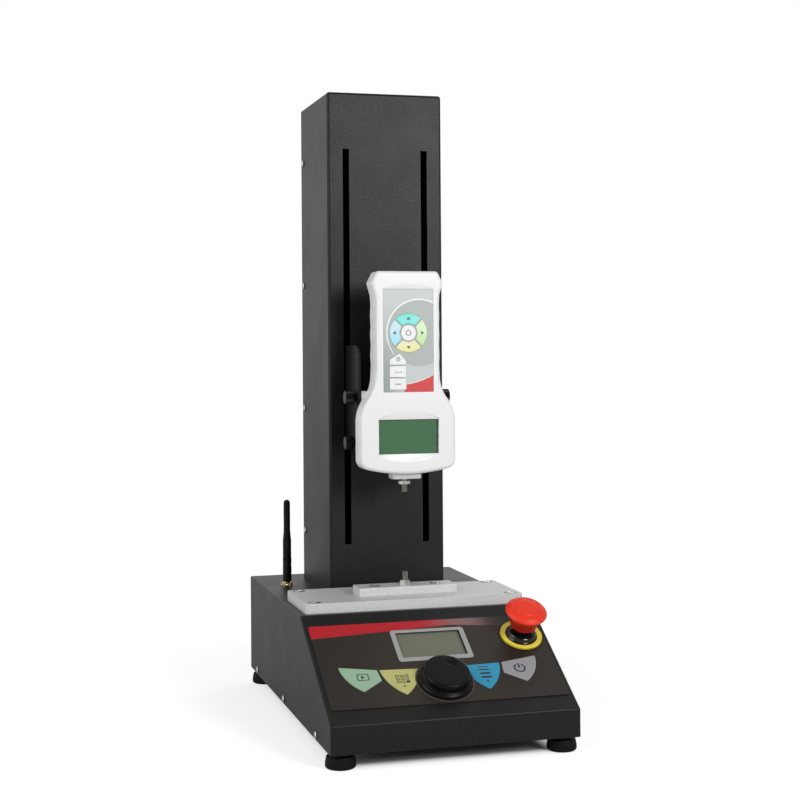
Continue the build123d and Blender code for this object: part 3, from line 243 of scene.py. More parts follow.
# %% [markdown]
# ## One way to build a finish
# A finish is a shader with a colour, a roughness and a relief that all change a little over the
# surface. The same three changes serve every solid finish here, so one function makes them, and a
# second argument list gives what differs. Prints are laid over the colour afterwards.

# %% The finish builder
bump_height = 0.1 * mm


def use_group(tree, group, inputs=None):
    return add_node(tree, "ShaderNodeGroup", inputs, node_tree=group).outputs["Mask"]


def make_finish(name, dark, light, roughness, grain, relief, metallic=0.0, along=(1.0, 1.0, 1.0),
                printed=None, swing=0.06, specular=0.5):
    """A material whose colour runs from dark to light with its grain, under any print."""
    made = bpy.data.materials.new(name)
    made.use_nodes = True
    tree = made.node_tree
    grains = use_group(tree, grain_group, {"Scale": grain, **dict(zip(axis_inputs, along))})
    colour = mixed(tree, grains, dark, light)
    if printed:
        colour = printed(tree, colour)
    spread = add_node(tree, "ShaderNodeMapRange", {"Value": use_group(tree, patch_group),
                                                   "To Min": roughness - swing, "To Max": roughness + swing})
    bump = add_node(tree, "ShaderNodeBump", {"Height": grains, "Strength": relief, "Distance": bump_height})
    feed(tree, tree.nodes["Principled BSDF"], {
        "Base Color": colour, "Roughness": spread.outputs["Result"], "Normal": bump.outputs["Normal"],
        "Metallic": metallic, "Specular IOR Level": specular})
    return made


print("finish builder is ready")

# %% [markdown]
# ## Metal and plain plastic finishes
# The cabinet has a satin black powder coat with a fine texture, which reads almost black from the
# front and grey where the light grazes it. The table is ground aluminium under a clear anodised
# layer, the small hardware is zinc-plated or turned steel, and the knobs are moulded black plastic.

# %% Plain finishes
finishes = {
    "black_powder_coat": make_finish("powder_coat", (0.0035, 0.0035, 0.004), (0.0095, 0.0095, 0.010), 0.40,
                                     620.0, 0.55, swing=0.025, specular=0.27),
    "foot_rubber": make_finish("foot_rubber", (0.003, 0.003, 0.0035), (0.006, 0.006, 0.0065), 0.60, 1200.0,
                               0.4, specular=0.15),
    "zinc_screws": make_finish("zinc_plate", (0.50, 0.50, 0.48), (0.70, 0.69, 0.66), 0.28, 1600.0, 0.15,
                               metallic=1.0),
    # Turned steel, kept dark partly as painted shade for the upper stud in the gauge's shadow.
    "stud_steel": make_finish("turned_steel", (0.30, 0.29, 0.27), (0.50, 0.48, 0.45), 0.30, 900.0, 0.15,
                              metallic=1.0, along=(1.0, 1.0, 6.0)),
    "circuit_board": make_finish("solder_mask", (0.010, 0.090, 0.035), (0.020, 0.150, 0.060), 0.35, 700.0,
                                 0.2),
    "socket_brass": make_finish("plated_brass", (0.50, 0.41, 0.19), (0.72, 0.61, 0.34), 0.24, 1200.0, 0.1,
                                metallic=1.0),
    "black_plastic": make_finish("black_plastic", (0.003, 0.003, 0.0035), (0.005, 0.005, 0.0055), 0.28,
                                 1800.0, 0.10, swing=0.03, specular=0.16),
    "motor_paint": make_finish("motor_paint", (0.012, 0.012, 0.013), (0.022, 0.022, 0.024), 0.45, 900.0, 0.3),
    "plate_aluminium": make_finish("ground_aluminium", (0.60, 0.61, 0.61), (0.68, 0.69, 0.685), 0.52, 900.0,
                                   0.12, metallic=0.35, along=(0.25, 1.0, 1.0), swing=0.02),
    "stop_red": make_finish("stop_red", (0.80, 0.028, 0.010), (0.86, 0.040, 0.014), 0.42, 1500.0, 0.12,
                            specular=0.3),
    "stop_yellow": make_finish("stop_yellow", (0.86, 0.68, 0.055), (0.94, 0.76, 0.085), 0.45, 1200.0, 0.15,
                               specular=0.3),
    "collar_black": make_finish("collar_black", (0.004, 0.004, 0.0045), (0.007, 0.007, 0.0075), 0.12, 1200.0,
                                0.02, swing=0.03),
}
print(len(finishes), "plain finishes")

# %% [markdown]
# ## The gauge's white plastic
# The casing is two mouldings that meet in a thin shadow line round the sides. Cutting a groove
# would need a boolean on a curved edge, and a line this thin is only ever seen as a darker tone,
# so the material darkens a narrow band where the halves meet.

# %% White plastic with its parting line
parting_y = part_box("gauge_front_shell")[1].y
seam_width = 0.55 * mm
seam_grey = (0.36, 0.35, 0.38)


def seam_print(tree, colour):
    from_seam = absolute(tree, place_of(tree, origin=(0.0, parting_y, 0.0))[1])
    near = inverted(tree, faded(tree, from_seam, seam_width / 2, seam_width))
    return mixed(tree, near, colour, seam_grey)


finishes["gauge_white"] = make_finish("gauge_white", (0.865, 0.865, 0.875), (0.895, 0.895, 0.90), 0.34,
                                      1300.0, 0.06, printed=seam_print, swing=0.03)
print("halves meet at y =", round(parting_y, 4))

# %% [markdown]
# ## Reading the sloping panel
# Everything printed on the panel is measured across it and up the slope. The knob turns on an axis
# square to the panel, so that joint gives both the slope and a point on it, and a matrix carries
# panel millimetres into the room. Its turn is also what the panel's materials undo.

# %% The panel's own axes
knob_up_slope = 48.0
knob_joint_height = 5.0
panel_normal = Vector(joints["jog_turn"]["axis"])
panel_slope = atan2(-panel_normal.y, panel_normal.z)
up_slope = Vector((0.0, cos(panel_slope), sin(panel_slope)))
knob_place = Vector(joints["jog_turn"]["pos_m"])
panel_origin = knob_place - up_slope * knob_up_slope * mm - panel_normal * knob_joint_height * mm


def on_panel(height=0.0, u=0.0, v=0.0):
    """The matrix from the panel's axes to the room, at a place on the panel in millimetres."""
    axes = Matrix((Vector((1, 0, 0)), up_slope, panel_normal)).transposed().to_4x4()
    place = panel_origin + (Vector((1, 0, 0)) * u + up_slope * v + panel_normal * height) * mm
    return Matrix.Translation(place) @ axes


def panel_box(node):
    """Lowest and highest corner of a node in panel millimetres."""
    back = on_panel().inverted()
    points = [back @ vertex.co for vertex in nodes[node].data.vertices]
    low = [min(p[i] for p in points) / mm for i in range(3)]
    high = [max(p[i] for p in points) / mm for i in range(3)]
    return low, high


overlay_low, overlay_high = panel_box("panel_overlay")
overlay_top = overlay_high[2]
print("slope", round(panel_slope * 180 / pi, 2), "degrees")
print("overlay from", [round(v, 1) for v in overlay_low], "to", [round(v, 1) for v in overlay_high])

# %% [markdown]
# ## The panel's printed film
# The film is dark brown-grey, a little warmer towards the middle. A red band runs along its top
# edge and fades out to the right, and a thin pale circle rings the knob. A print has no thickness
# worth modelling, so it is a set of masks in the film's material: each asks how far a point is
# from a line or a circle.

# %% Panel film
film_colour = (0.026, 0.020, 0.014)
film_light = tuple(part * 1.2 for part in film_colour)
film_edge_colour, film_edge_share = (0.018, 0.015, 0.012), 0.75
film_edge_start, film_edge_end = 30.0, 115.0
band_rise, band_at_middle = 0.070, 123.8
band_bend, band_fall = 25.0, 0.17
band_red, band_faded = (0.46, 0.014, 0.022), (0.235, 0.130, 0.125)
red_fade_start, red_fade_end = -8.0, 42.0
band_fade_start, band_fade_end = 36.0, 86.0
circle_radius, circle_half_width = 27.6, 0.28
circle_grey = (0.13, 0.12, 0.11)


def film_print(tree, colour):
    u, v = place_of(tree, -panel_slope, tuple(panel_origin))[:2]
    outer = faded(tree, absolute(tree, u), film_edge_start * mm, film_edge_end * mm)
    colour = mixed(tree, product(tree, outer, film_edge_share), colour, film_edge_colour)
    limit = added(tree, product(tree, u, band_rise), band_at_middle * mm)
    past_bend = larger(tree, difference(tree, u, band_bend * mm), 0.0)
    limit = difference(tree, limit, product(tree, past_bend, band_fall))
    inside = above(tree, v, limit)
    red = mixed(tree, faded(tree, u, red_fade_start * mm, red_fade_end * mm), band_red, band_faded)
    shown = inverted(tree, faded(tree, u, band_fade_start * mm, band_fade_end * mm))
    colour = mixed(tree, product(tree, inside, shown), colour, red)
    from_circle = apart(tree, distance_from(tree, u, v, (0.0, knob_up_slope)), circle_radius * mm)
    line = below(tree, from_circle, circle_half_width * mm)
    return mixed(tree, line, colour, circle_grey)


finishes["panel_film"] = make_finish("panel_film", film_colour, film_light, 0.42, 1400.0, 0.12,
                                     printed=film_print, swing=0.02, specular=0.3)
print("panel film done")

# %% [markdown]
# ## The gauge's keypad film
# The keypad is grey-green, with painted shade that darkens it towards the lower left. A thin white
# arc sweeps round the keys, the area inside it is a shade darker, and a red corner with a curved
# edge fills the lower right. All three are circles measured from their own centres, so they are
# masks too.

# %% Keypad film
ring_centre = (0.0, 394.8)
arc_centre, arc_radius = (11.3, 394.8), 34.0
arc_half_width, arc_end_half_width, arc_end_z = 0.7, 0.315, 373.4
corner_centre, corner_radius, corner_left, corner_line = (-12.2, 421.9), 80.0, -4.8, 1.2
# The first colour here is painted shade for the film's lower left.
lower_left_painted_shade, arc_shade, arc_white = (0.30, 0.345, 0.335), (0.44, 0.485, 0.465), (0.92, 0.94, 0.93)
corner_pale, corner_red = (0.72, 0.75, 0.74), (0.66, 0.045, 0.045)
margin_grey, margin_share, keypad_margin = (0.20, 0.21, 0.21), 0.6, 0.45
keypad_low, keypad_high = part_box("gauge_overlay")


def beyond(tree, value, low, high):
    """1 in the narrow margin at either end of a stretch."""
    reach = apart(tree, value, (low + high) / 2)
    return above(tree, reach, (high - low) / 2 - keypad_margin * mm)


def arc_line(tree, z, from_arc):
    """The arc's line, which thins towards its lower end and stops there."""
    growth = faded(tree, z, arc_end_z * mm, arc_centre[1] * mm)
    wider = product(tree, growth, (arc_half_width - arc_end_half_width) * mm)
    limit = added(tree, wider, arc_end_half_width * mm)
    near = below(tree, apart(tree, from_arc, arc_radius * mm), limit)
    return product(tree, near, above(tree, z, arc_end_z * mm))


def keypad_print(tree, colour):
    x, _, z = place_of(tree)
    # Painted shade: the film is darkened towards its lower left.
    lower = inverted(tree, faded(tree, z, keypad_low.z, keypad_high.z))
    left = inverted(tree, faded(tree, x, keypad_low.x, 0.0))
    colour = mixed(tree, product(tree, lower, left), colour, lower_left_painted_shade)
    from_arc = distance_from(tree, x, z, arc_centre)
    colour = mixed(tree, below(tree, from_arc, arc_radius * mm), colour, arc_shade)
    colour = mixed(tree, arc_line(tree, z, from_arc), colour, arc_white)
    from_corner = distance_from(tree, x, z, corner_centre)
    right = above(tree, x, corner_left * mm)
    for radius, tint in ((corner_radius - corner_line, corner_pale), (corner_radius, corner_red)):
        outside = above(tree, from_corner, radius * mm)
        colour = mixed(tree, product(tree, outside, right), colour, tint)
    margins = (beyond(tree, x, keypad_low.x, keypad_high.x), beyond(tree, z, keypad_low.z, keypad_high.z))
    return mixed(tree, product(tree, larger(tree, *margins), margin_share), colour, margin_grey)


finishes["keypad_film"] = make_finish("keypad_film", (0.56, 0.61, 0.60), (0.60, 0.65, 0.64), 0.40, 1200.0,
                                      0.08, printed=keypad_print)
print("keypad film from z", round(keypad_low.z, 4), "to", round(keypad_high.z, 4))

# %% [markdown]
# ## Displays and coloured keys
# Both displays are switched off: a flat grey-green glass, darker along the edges that the frame
# shades. Each key of the gauge's round pad is a printed cap whose colour is paler towards one end.
# A fade between two places gives both.

# %% Displays
right_shade, top_shade = (3.0, 1.6), (1.6, 0.2)
window_shade = (0.02, 0.03, 0.02)
panel_window_right, panel_window_top, panel_window_depth = 32.0, 117.6, 0.45
gauge_window_right, gauge_window_top, gauge_window_depth = 31.6, 307.1, 0.7


def shaded_window(right_edge, top_edge, depth, turn=0.0, origin=(0.0, 0.0, 0.0), axis=2):
    """Painted shade on the right and top margins of a window, where its frame shades it; edges are in millimetres.
    """
    def print_shade(tree, colour):
        place = place_of(tree, turn, origin)
        right, top = (faded(tree, value, *((edge - inset) * mm for inset in insets))
                      for value, edge, insets in ((place[0], right_edge, right_shade),
                                                  (place[axis], top_edge, top_shade)))
        # Painted shade from the frame along the window's right and top margins.
        shade = product(tree, larger(tree, right, top), depth)
        return mixed(tree, shade, colour, window_shade)
    return print_shade


panel_shade = shaded_window(panel_window_right, panel_window_top, panel_window_depth,
                            -panel_slope, tuple(panel_origin), axis=1)
panel_glass = make_finish("panel_display_glass", (0.145, 0.158, 0.112), (0.160, 0.172, 0.122), 0.30, 500.0,
                          0.02, printed=panel_shade, specular=0.35)
gauge_shade = shaded_window(gauge_window_right, gauge_window_top, gauge_window_depth)
gauge_glass = make_finish("gauge_display_glass", (0.056, 0.150, 0.070), (0.064, 0.162, 0.078), 0.30, 500.0,
                          0.02, printed=gauge_shade, specular=0.3)
print("two display glasses")

# %% Key inks
key_inks = {
    "key_green": ((0.29, 0.455, 0.31), (0.325, 0.495, 0.345)),
    "key_yellow": ((0.47, 0.47, 0.165), (0.52, 0.515, 0.195)),
    "key_blue": ((0.032, 0.29, 0.47), (0.044, 0.325, 0.52)),
    "key_grey": ((0.30, 0.30, 0.315), (0.335, 0.335, 0.35)),
}
for name, (dark, light) in key_inks.items():
    finishes[name] = make_finish(name, dark, light, 0.45, 900.0, 0.1, specular=0.3)

# Each round-pad ink has its two tones, then the axis, the ends and the colour of its fade.
pad_inks = {
    ("up", "teal"): ((0.20, 0.80, 0.74), (0.24, 0.83, 0.77), 0, 2.0, 14.0, (0.34, 0.84, 0.78)),
    ("right", "green"): ((0.58, 0.80, 0.42), (0.62, 0.84, 0.46), 2, 384.0, 404.0, (0.76, 0.92, 0.62)),
    ("down", "yellow"): ((0.82, 0.80, 0.34), (0.86, 0.84, 0.38), 2, 374.0, 386.0, (0.88, 0.86, 0.50)),
    ("left", "blue"): ((0.38, 0.79, 0.90), (0.42, 0.82, 0.92), 2, 388.0, 400.0, (0.62, 0.85, 0.93)),
}
gauge_key_finishes = {}


def deepened(axis, low, high, colour):
    """A print that fades to another colour between two places along an axis, in millimetres."""
    def print_fade(tree, base):
        return mixed(tree, faded(tree, place_of(tree)[axis], low * mm, high * mm), base, colour)
    return print_fade


for (key, ink_name), (dark, light, *fade) in pad_inks.items():
    pad_ink = make_finish(f"round_pad_{ink_name}", dark, light, 0.42, 900.0, 0.08, printed=deepened(*fade))
    gauge_key_finishes[f"gauge_key_{key}"] = pad_ink
key_white = make_finish("key_white", (0.86, 0.87, 0.87), (0.90, 0.91, 0.91), 0.38, 1000.0, 0.06)
# A grey collar, made darker than the gauge's white partly as painted shade from the gauge above it.
collar_grey_and_shade = make_finish("collar_grey_and_shade", (0.60, 0.595, 0.585), (0.65, 0.645, 0.635), 0.38, 1100.0, 0.06)
ink = make_finish("icon_ink", (0.012, 0.014, 0.016), (0.022, 0.024, 0.026), 0.5, 1500.0, 0.05)
gauge_ink = make_finish("gauge_icon_ink", (0.055, 0.085, 0.085), (0.075, 0.105, 0.105), 0.5, 1500.0, 0.05)
print(len(finishes), "finishes and", len(gauge_key_finishes), "round-pad inks")

# %% [markdown]
# ## Dressing the CAD nodes
# A node whose shape is already right only needs its finish. The record says which slot each node
# belongs to, so one loop dresses them all. The few with inks of their own are looked up first.

# %% Dress every node
node_slot = {part["node"]: part["material_slot"] for part in frame["record"]["subparts"]}
own_finish = {"panel_display": panel_glass, "gauge_display": gauge_glass, "gauge_collar": collar_grey_and_shade,
              "stop_body": finishes["collar_black"], **gauge_key_finishes}
own_finish.update(dict.fromkeys(("gauge_key_centre", "gauge_soft_key_low", "gauge_soft_key_middle",
                                 "gauge_soft_key_high"), key_white))
for node, slot_name in node_slot.items():
    materials = nodes[node].data.materials
    materials.clear()
    materials.append(own_finish.get(node) or finishes[slot_name])
print("dressed", len(node_slot), "nodes")

# %% [markdown]
# ## Turning meshes into pieces
# Each modelled form ends the same way: doubles are merged, normals are made to point outwards,
# smooth shading is set with sharp edges above an angle, and the piece is told what it rides on.

# %% Piece helpers
bodies = frame["record"]["behaviour"]["bodies"]
body_of_node = {node: body for body, members in bodies.items() for node in members}
merge_gap, fine_gap = 1e-6, 1e-7
flat_angle, bevel_angle = radians(0.5), radians(40)


def finished(name, form, finish, like, stands_for=(), sharp=32.0):
    """A piece from a bmesh with the given finish, riding with the node named by like."""
    bmesh.ops.remove_doubles(form, verts=form.verts, dist=merge_gap)
    bmesh.ops.recalc_face_normals(form, faces=form.faces)
    mesh = bpy.data.meshes.new(name)
    form.to_mesh(mesh)
    form.free()
    mesh.shade_smooth()
    mesh.set_sharp_from_angle(angle=radians(sharp))
    mesh.materials.append(finish)
    piece = bpy.data.objects.new(name, mesh)
    scene.collection.objects.link(piece)
    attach(piece, body_of_node[like])
    if stands_for:
        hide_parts(*stands_for)
    print(name, len(mesh.polygons), "faces on", body_of_node[like])
    return piece


def softened(piece, width, segments=2):
    """Rounds a piece's sharp edges with a live bevel."""
    bevel = piece.modifiers.new("soft_edges", "BEVEL")
    bevel.width = width * mm
    bevel.segments = segments
    bevel.limit_method = "ANGLE"
    bevel.angle_limit = bevel_angle
    bevel.harden_normals = True
    return piece


def smooth_copy(node, sharp=32.0, rim=0.0):
    """A stand-in for a node: its triangles joined, flat faces kept flat, its edges rounded by the rim."""
    form = bmesh.new()
    form.from_mesh(nodes[node].data)
    if rim:
        bmesh.ops.remove_doubles(form, verts=form.verts, dist=merge_gap)
        bmesh.ops.dissolve_limit(form, angle_limit=flat_angle, verts=form.verts, edges=form.edges)
    piece = finished(f"{node}_form", form, nodes[node].data.materials[0], node, (node,), sharp)
    if rim:
        softened(piece, rim)
    weighted = piece.modifiers.new("flat_faces", "WEIGHTED_NORMAL")
    weighted.keep_sharp = True
    return piece


print("piece helpers are ready")

# %% Smooth the curved nodes
curved_nodes = ["gauge_front_shell", "gauge_rear_shell", "gauge_collar", "jog_knob", "stop_ring",
                "antenna_barrel", "antenna_whip", "antenna_socket", "case_screws", "carriage_screws",
                "table_screws", "power_jack", "base_cover", "column_cover", "cheek_plates", "guide_rods",
                "screw_bearings", "linear_bushings", "screw_nut", "drive_motor", "stop_plunger",
                "knob_encoder"]
for node in curved_nodes:
    smooth_copy(node)
for node in ("key_run", "key_digits", "key_list", "key_power"):
    smooth_copy(node, rim=0.25)
for node in ("table_plate", "fixture_block", "lower_nut", "stud_nut", "stop_body"):
    smooth_copy(node, rim=0.2)

# %% [markdown]
# ## Turned forms
# A knob, a mushroom head or a stud is a profile spun about an axis. Spinning a few points gives
# clean rings of faces, which shade far better than a cylinder that was cut into shape.

# %% The lathe
def lathe(profile, place, steps=96):
    """Spins (radius, height) points in millimetres about the place's Z."""
    form = bmesh.new()
    verts = [form.verts.new((radius * mm, 0.0, height * mm)) for radius, height in profile]
    edges = [form.edges.new(pair) for pair in zip(verts, verts[1:])]
    bmesh.ops.spin(form, geom=verts + edges, cent=(0, 0, 0), axis=(0, 0, 1), angle=tau, steps=steps,
                   use_merge=True, use_duplicate=False)
    bmesh.ops.remove_doubles(form, verts=form.verts, dist=fine_gap)
    bmesh.ops.transform(form, matrix=place, verts=form.verts)
    return form


def arc_points(start, through, end, count):
    """Points along the circle through three (radius, height) points, without the first."""
    (ax, ay), (bx, by), (cx, cy) = start, through, end
    d = 2 * (ax * (by - cy) + bx * (cy - ay) + cx * (ay - by))
    ox = ((ax**2 + ay**2) * (by - cy) + (bx**2 + by**2) * (cy - ay) + (cx**2 + cy**2) * (ay - by)) / d
    oy = ((ax**2 + ay**2) * (cx - bx) + (bx**2 + by**2) * (ax - cx) + (cx**2 + cy**2) * (bx - ax)) / d
    first, last = atan2(ay - oy, ax - ox), atan2(cy - oy, cx - ox)
    middle = atan2(by - oy, bx - ox)
    sweep = (last - first) % tau
    if (middle - first) % tau > sweep:
        sweep -= tau
    radius = ((ax - ox) ** 2 + (ay - oy) ** 2) ** 0.5
    angles = [first + sweep * i / count for i in range(1, count + 1)]
    return [(ox + radius * cos(a), oy + radius * sin(a)) for a in angles]


print("lathe is ready")

# %% [markdown]
# ## Threads
# A screw thread is a zigzag profile spun with a steady climb, so that after one turn it meets
# itself one pitch higher. The spin operator takes that climb as its dvec. The ragged ends are
# then cut off square with two planes.

# %% Threaded rods
crest_low, crest_high = 0.42, 0.58


def picked(items, kind):
    """The vertices, edges or faces among what an operator gave back."""
    return [item for item in items if isinstance(item, kind)]


def threaded_rod(radius, pitch, depth, low, high, x, y, starts=1, steps=48):
    """A rod with a thread of this pitch between two heights, all in millimetres."""
    lead = pitch * starts
    form = bmesh.new()
    count = int((high - low) / pitch) + 2 * starts + 2
    points = []
    for i in range(count):
        z = low - lead + i * pitch
        points += [(radius - depth, z), (radius, z + pitch * crest_low), (radius, z + pitch * crest_high)]
    verts = [form.verts.new((r * mm, 0.0, z * mm)) for r, z in points]
    edges = [form.edges.new(pair) for pair in zip(verts, verts[1:])]
    bmesh.ops.spin(form, geom=verts + edges, cent=(0, 0, 0), axis=(0, 0, 1), dvec=(0, 0, lead * mm / steps),
                   angle=tau, steps=steps, use_merge=False, use_duplicate=False)
    bmesh.ops.remove_doubles(form, verts=form.verts, dist=merge_gap)
    for height, side in ((low, -1), (high, 1)):
        geometry = form.verts[:] + form.edges[:] + form.faces[:]
        cut = bmesh.ops.bisect_plane(form, geom=geometry, plane_co=(0, 0, height * mm), plane_no=(0, 0, side),
                                     clear_outer=True)
        bmesh.ops.contextual_create(form, geom=picked(cut["geom_cut"], bmesh.types.BMEdge))
    bmesh.ops.translate(form, vec=(x * mm, y * mm, 0), verts=form.verts)
    return form


def rod_of(node):
    """Axis place, radius and ends of an upright rod node, in millimetres."""
    low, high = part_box(node)
    middle = (low + high) / 2 / mm
    return middle.x, middle.y, (high.x - low.x) / 2 / mm, low.z / mm, high.z / mm


def join_form(form, other):
    """Adds a second bmesh to the first and frees it."""
    carrier = bpy.data.meshes.new("carrier")
    other.to_mesh(carrier)
    other.free()
    form.from_mesh(carrier)
    bpy.data.meshes.remove(carrier)
    return form


def stud_form(stud, thread_low, thread_high, root_low, root_high):
    """The exposed thread and the plain root that sits in the metal."""
    x, y, radius, low, high = rod_of(stud)
    form = threaded_rod(radius, stud_pitch, stud_thread_depth, thread_low, thread_high, x, y)
    place = Matrix.Translation((x * mm, y * mm, 0))
    root = lathe([(0, root_low), (stud_root, root_low), (stud_root, root_high), (0, root_high)], place, 32)
    return finished(f"{stud}_thread", join_form(form, root), finishes["stud_steel"], stud, (stud,))


stud_root, stud_relief = 2.6, 0.3
stud_pitch, stud_thread_depth = 1.0, 0.6
lower_low, lower_high = (corner.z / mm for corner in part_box("lower_stud"))
lower_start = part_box("lower_nut")[1].z / mm + stud_relief
upper_low, upper_high = (corner.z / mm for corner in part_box("upper_stud"))
upper_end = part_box("stud_nut")[0].z / mm - stud_relief
stud_form("lower_stud", lower_start, lower_high, lower_low, lower_start)
stud_form("upper_stud", upper_low, upper_end, upper_end, upper_high)

# %% Lead screw
lead_starts, lead_pitch, lead_depth = 4, 2.5, 1.2
lead_end_gap = 1.0
journal, motor_end = 5.96, 5.0


def lead_screw_form():
    """Four threads between the bearing plates, plain journals at both ends and the end in the motor."""
    x, y, radius, low, high = rod_of("lead_screw")
    thread_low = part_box("lower_bearing_plate")[1].z / mm + lead_end_gap
    thread_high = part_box("upper_bearing_plate")[0].z / mm - lead_end_gap
    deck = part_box("base_cover")[1].z / mm
    form = threaded_rod(radius, lead_pitch, lead_depth, thread_low, thread_high, x, y, lead_starts, 40)
    ends = lathe([(0, low), (motor_end, low), (motor_end, deck), (journal, deck), (journal, high), (0, high)],
                 Matrix.Translation((x * mm, y * mm, 0)), 40)
    steel = nodes["lead_screw"].data.materials[0]
    return finished("lead_screw_form", join_form(form, ends), steel, "lead_screw", ("lead_screw",))


lead_screw_form()

# %% [markdown]
# ## Feet, washers and screw heads
# A moulded foot bulges a little, has a rounded lower edge, and stands clear of the pan on a narrow
# neck that leaves a dark gap under the base. Its pocket and bore stay open for the screw.
# The table's screws sit in wide countersinks, so each gets a flat dark ring of painted shade for
# the countersink and a crowned rim round its socket, and a flat washer lies under the antenna's nut.

# %% Feet
foot_bore, foot_pocket, foot_pocket_top = 2.2, 3.8, 7.5
foot_top, foot_body_top, foot_collar = 15.0, 11.4, 9.4
foot_low_edge, foot_bulge, foot_side, foot_side_top = (11.4, 0.0), (13.5, 0.9), (14.3, 3.2), (14.1, 6.0)
foot_shoulder, foot_shoulder_bow, foot_neck = (13.2, 10.6), (12.9, 11.2), (12.2, 11.4)


def foot_form(place):
    profile = [(foot_pocket, 0.0), foot_low_edge]
    profile += arc_points(foot_low_edge, foot_bulge, foot_side, 6)
    profile += [foot_side_top, foot_shoulder]
    profile += arc_points(foot_shoulder, foot_shoulder_bow, foot_neck, 4)
    profile += [(foot_collar, foot_body_top), (foot_collar, foot_top), (foot_bore, foot_top),
                (foot_bore, foot_pocket_top), (foot_pocket, foot_pocket_top), (foot_pocket, 0.0)]
    return lathe(profile, place, 64)


feet_low, feet_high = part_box("rubber_feet")
foot_radius = 14.0 * mm
form = bmesh.new()
for x in (feet_low.x + foot_radius, feet_high.x - foot_radius):
    for y in (feet_low.y + foot_radius, feet_high.y - foot_radius):
        join_form(form, foot_form(Matrix.Translation((x, y, 0))))
finished("rubber_feet_form", form, finishes["foot_rubber"], "rubber_feet", ("rubber_feet",))

# %% Table screw rims
screw_inset_x, screw_inset_y, block_screw_x = 11.0, 8.0, 32.0
plate_recess, block_recess = 6.2, 5.8
crown_profile = [(2.0, -0.2), (2.1, 0.3), (2.6, 0.55), (3.5, 0.5), (4.3, 0.22), (4.7, -0.1)]
recess_inner, recess_slope, recess_foot, recess_top = 4.75, 0.05, 0.01, 0.05
plate_low, plate_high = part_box("table_plate")
block_low, block_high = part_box("fixture_block")
# Painted shade: a flat dark ring stands for the shade in each countersink.
countersink_painted_shade = make_finish("countersink_shade_paint", (0.030, 0.030, 0.030), (0.050, 0.050, 0.050), 0.5, 900.0, 0.1)


def screw_places():
    """Middle of each countersunk screw with its recess radius, in millimetres."""
    places = []
    for side in (-1, 1):
        for y in (plate_low.y / mm + screw_inset_y, plate_high.y / mm - screw_inset_y):
            places.append((side * (plate_high.x / mm - screw_inset_x), y, plate_high.z / mm, plate_recess))
        block_middle = (block_low.y + block_high.y) / 2 / mm
        places.append((side * block_screw_x, block_middle, block_high.z / mm, block_recess))
    return places


rims, rings = bmesh.new(), bmesh.new()
for x, y, z, recess in screw_places():
    place = Matrix.Translation((x * mm, y * mm, z * mm))
    join_form(rims, lathe(crown_profile, place, 40))
    ring = [(recess_inner, recess_foot), (recess_inner + recess_slope, recess_top), (recess, recess_top),
            (recess + 2 * recess_slope, recess_foot)]
    join_form(rings, lathe(ring, place, 48))
finished("table_screw_rims", rims, finishes["zinc_screws"], "table_screws", sharp=50.0)
# The dark rings are painted shade laid over the countersinks.
finished("table_screw_shade_rings", rings, countersink_painted_shade, "table_plate", sharp=50.0)

# %% The antenna's washer
washer_inner, washer_outer, washer_thickness = 3.5, 7.6, 0.6
socket_low, socket_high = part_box("antenna_socket")
washer_place = Matrix.Translation(((socket_low.x + socket_high.x) / 2, (socket_low.y + socket_high.y) / 2,
                                   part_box("base_cover")[1].z))
washer = lathe([(washer_inner, 0), (washer_outer, 0), (washer_outer, washer_thickness),
                (washer_inner, washer_thickness)], washer_place, 48)
softened(finished("antenna_washer", washer, finishes["socket_brass"], "antenna_socket"), 0.12)

# %% [markdown]
# ## The emergency stop's mushroom head
# The head flares from a narrow skirt to a wide rim and closes in a low crown with a raised disc.
# Three shallow marks round the disc belong to the twist that frees it. The head is spun from a
# profile, and the marks are thin bands of darker red laid into the crown, painted shade for their
# grooves.

# %% Mushroom head
stop_joint_height = 20.0
stop_foot = Vector(joints["stop_twist"]["pos_m"]) - panel_normal * stop_joint_height * mm
stop_place = Matrix.Translation(stop_foot) @ on_panel().to_3x3().to_4x4()
skirt_foot, skirt_waist, rim_low = (13.3, 14.9), (14.8, 23.4), (19.8, 29.6)
rim_widest, rim_high = (20.5, 31.0), (19.6, 32.6)
crown_bow, disc_foot, disc_edge = (15.4, 35.5), (12.0, 35.7), (11.4, 36.5)
head_profile = [(6.2, 14.9), skirt_foot]
head_profile += arc_points(skirt_foot, skirt_waist, rim_low, 10)
head_profile += arc_points(rim_low, rim_widest, rim_high, 6)
head_profile += arc_points(rim_high, crown_bow, disc_foot, 8)
head_profile += [disc_edge, (10.6, 36.75), (8.0, 36.9), (0.0, 37.0)]
skirt_red, skirt_shade_low, skirt_shade_high = (0.46, 0.006, 0.005), 21.0, 28.0


def skirt_shade(tree, colour):
    """Deepens the red below the rim, which shades the skirt."""
    height = place_of(tree, -panel_slope, tuple(stop_place.translation))[2]
    low = inverted(tree, faded(tree, height, skirt_shade_low * mm, skirt_shade_high * mm))
    return mixed(tree, low, colour, skirt_red)


head_red = make_finish("stop_head_red", (0.82, 0.032, 0.012), (0.88, 0.044, 0.018), 0.42, 1500.0, 0.12,
                       printed=skirt_shade, specular=0.3)
softened(finished("stop_head_form", lathe(head_profile, stop_place), head_red, "stop_head",
                  ("stop_head",), sharp=50.0), 0.25)

# %% [markdown]
# ## Flat prints with an edge
# Icons stand a few hundredths of a millimetre proud, and the display's frame and the ring's dark
# rim a little more. They start as flat faces: a polygon, an outline of bars, or a band swept round
# a centre. One operator then raises them to their thickness.

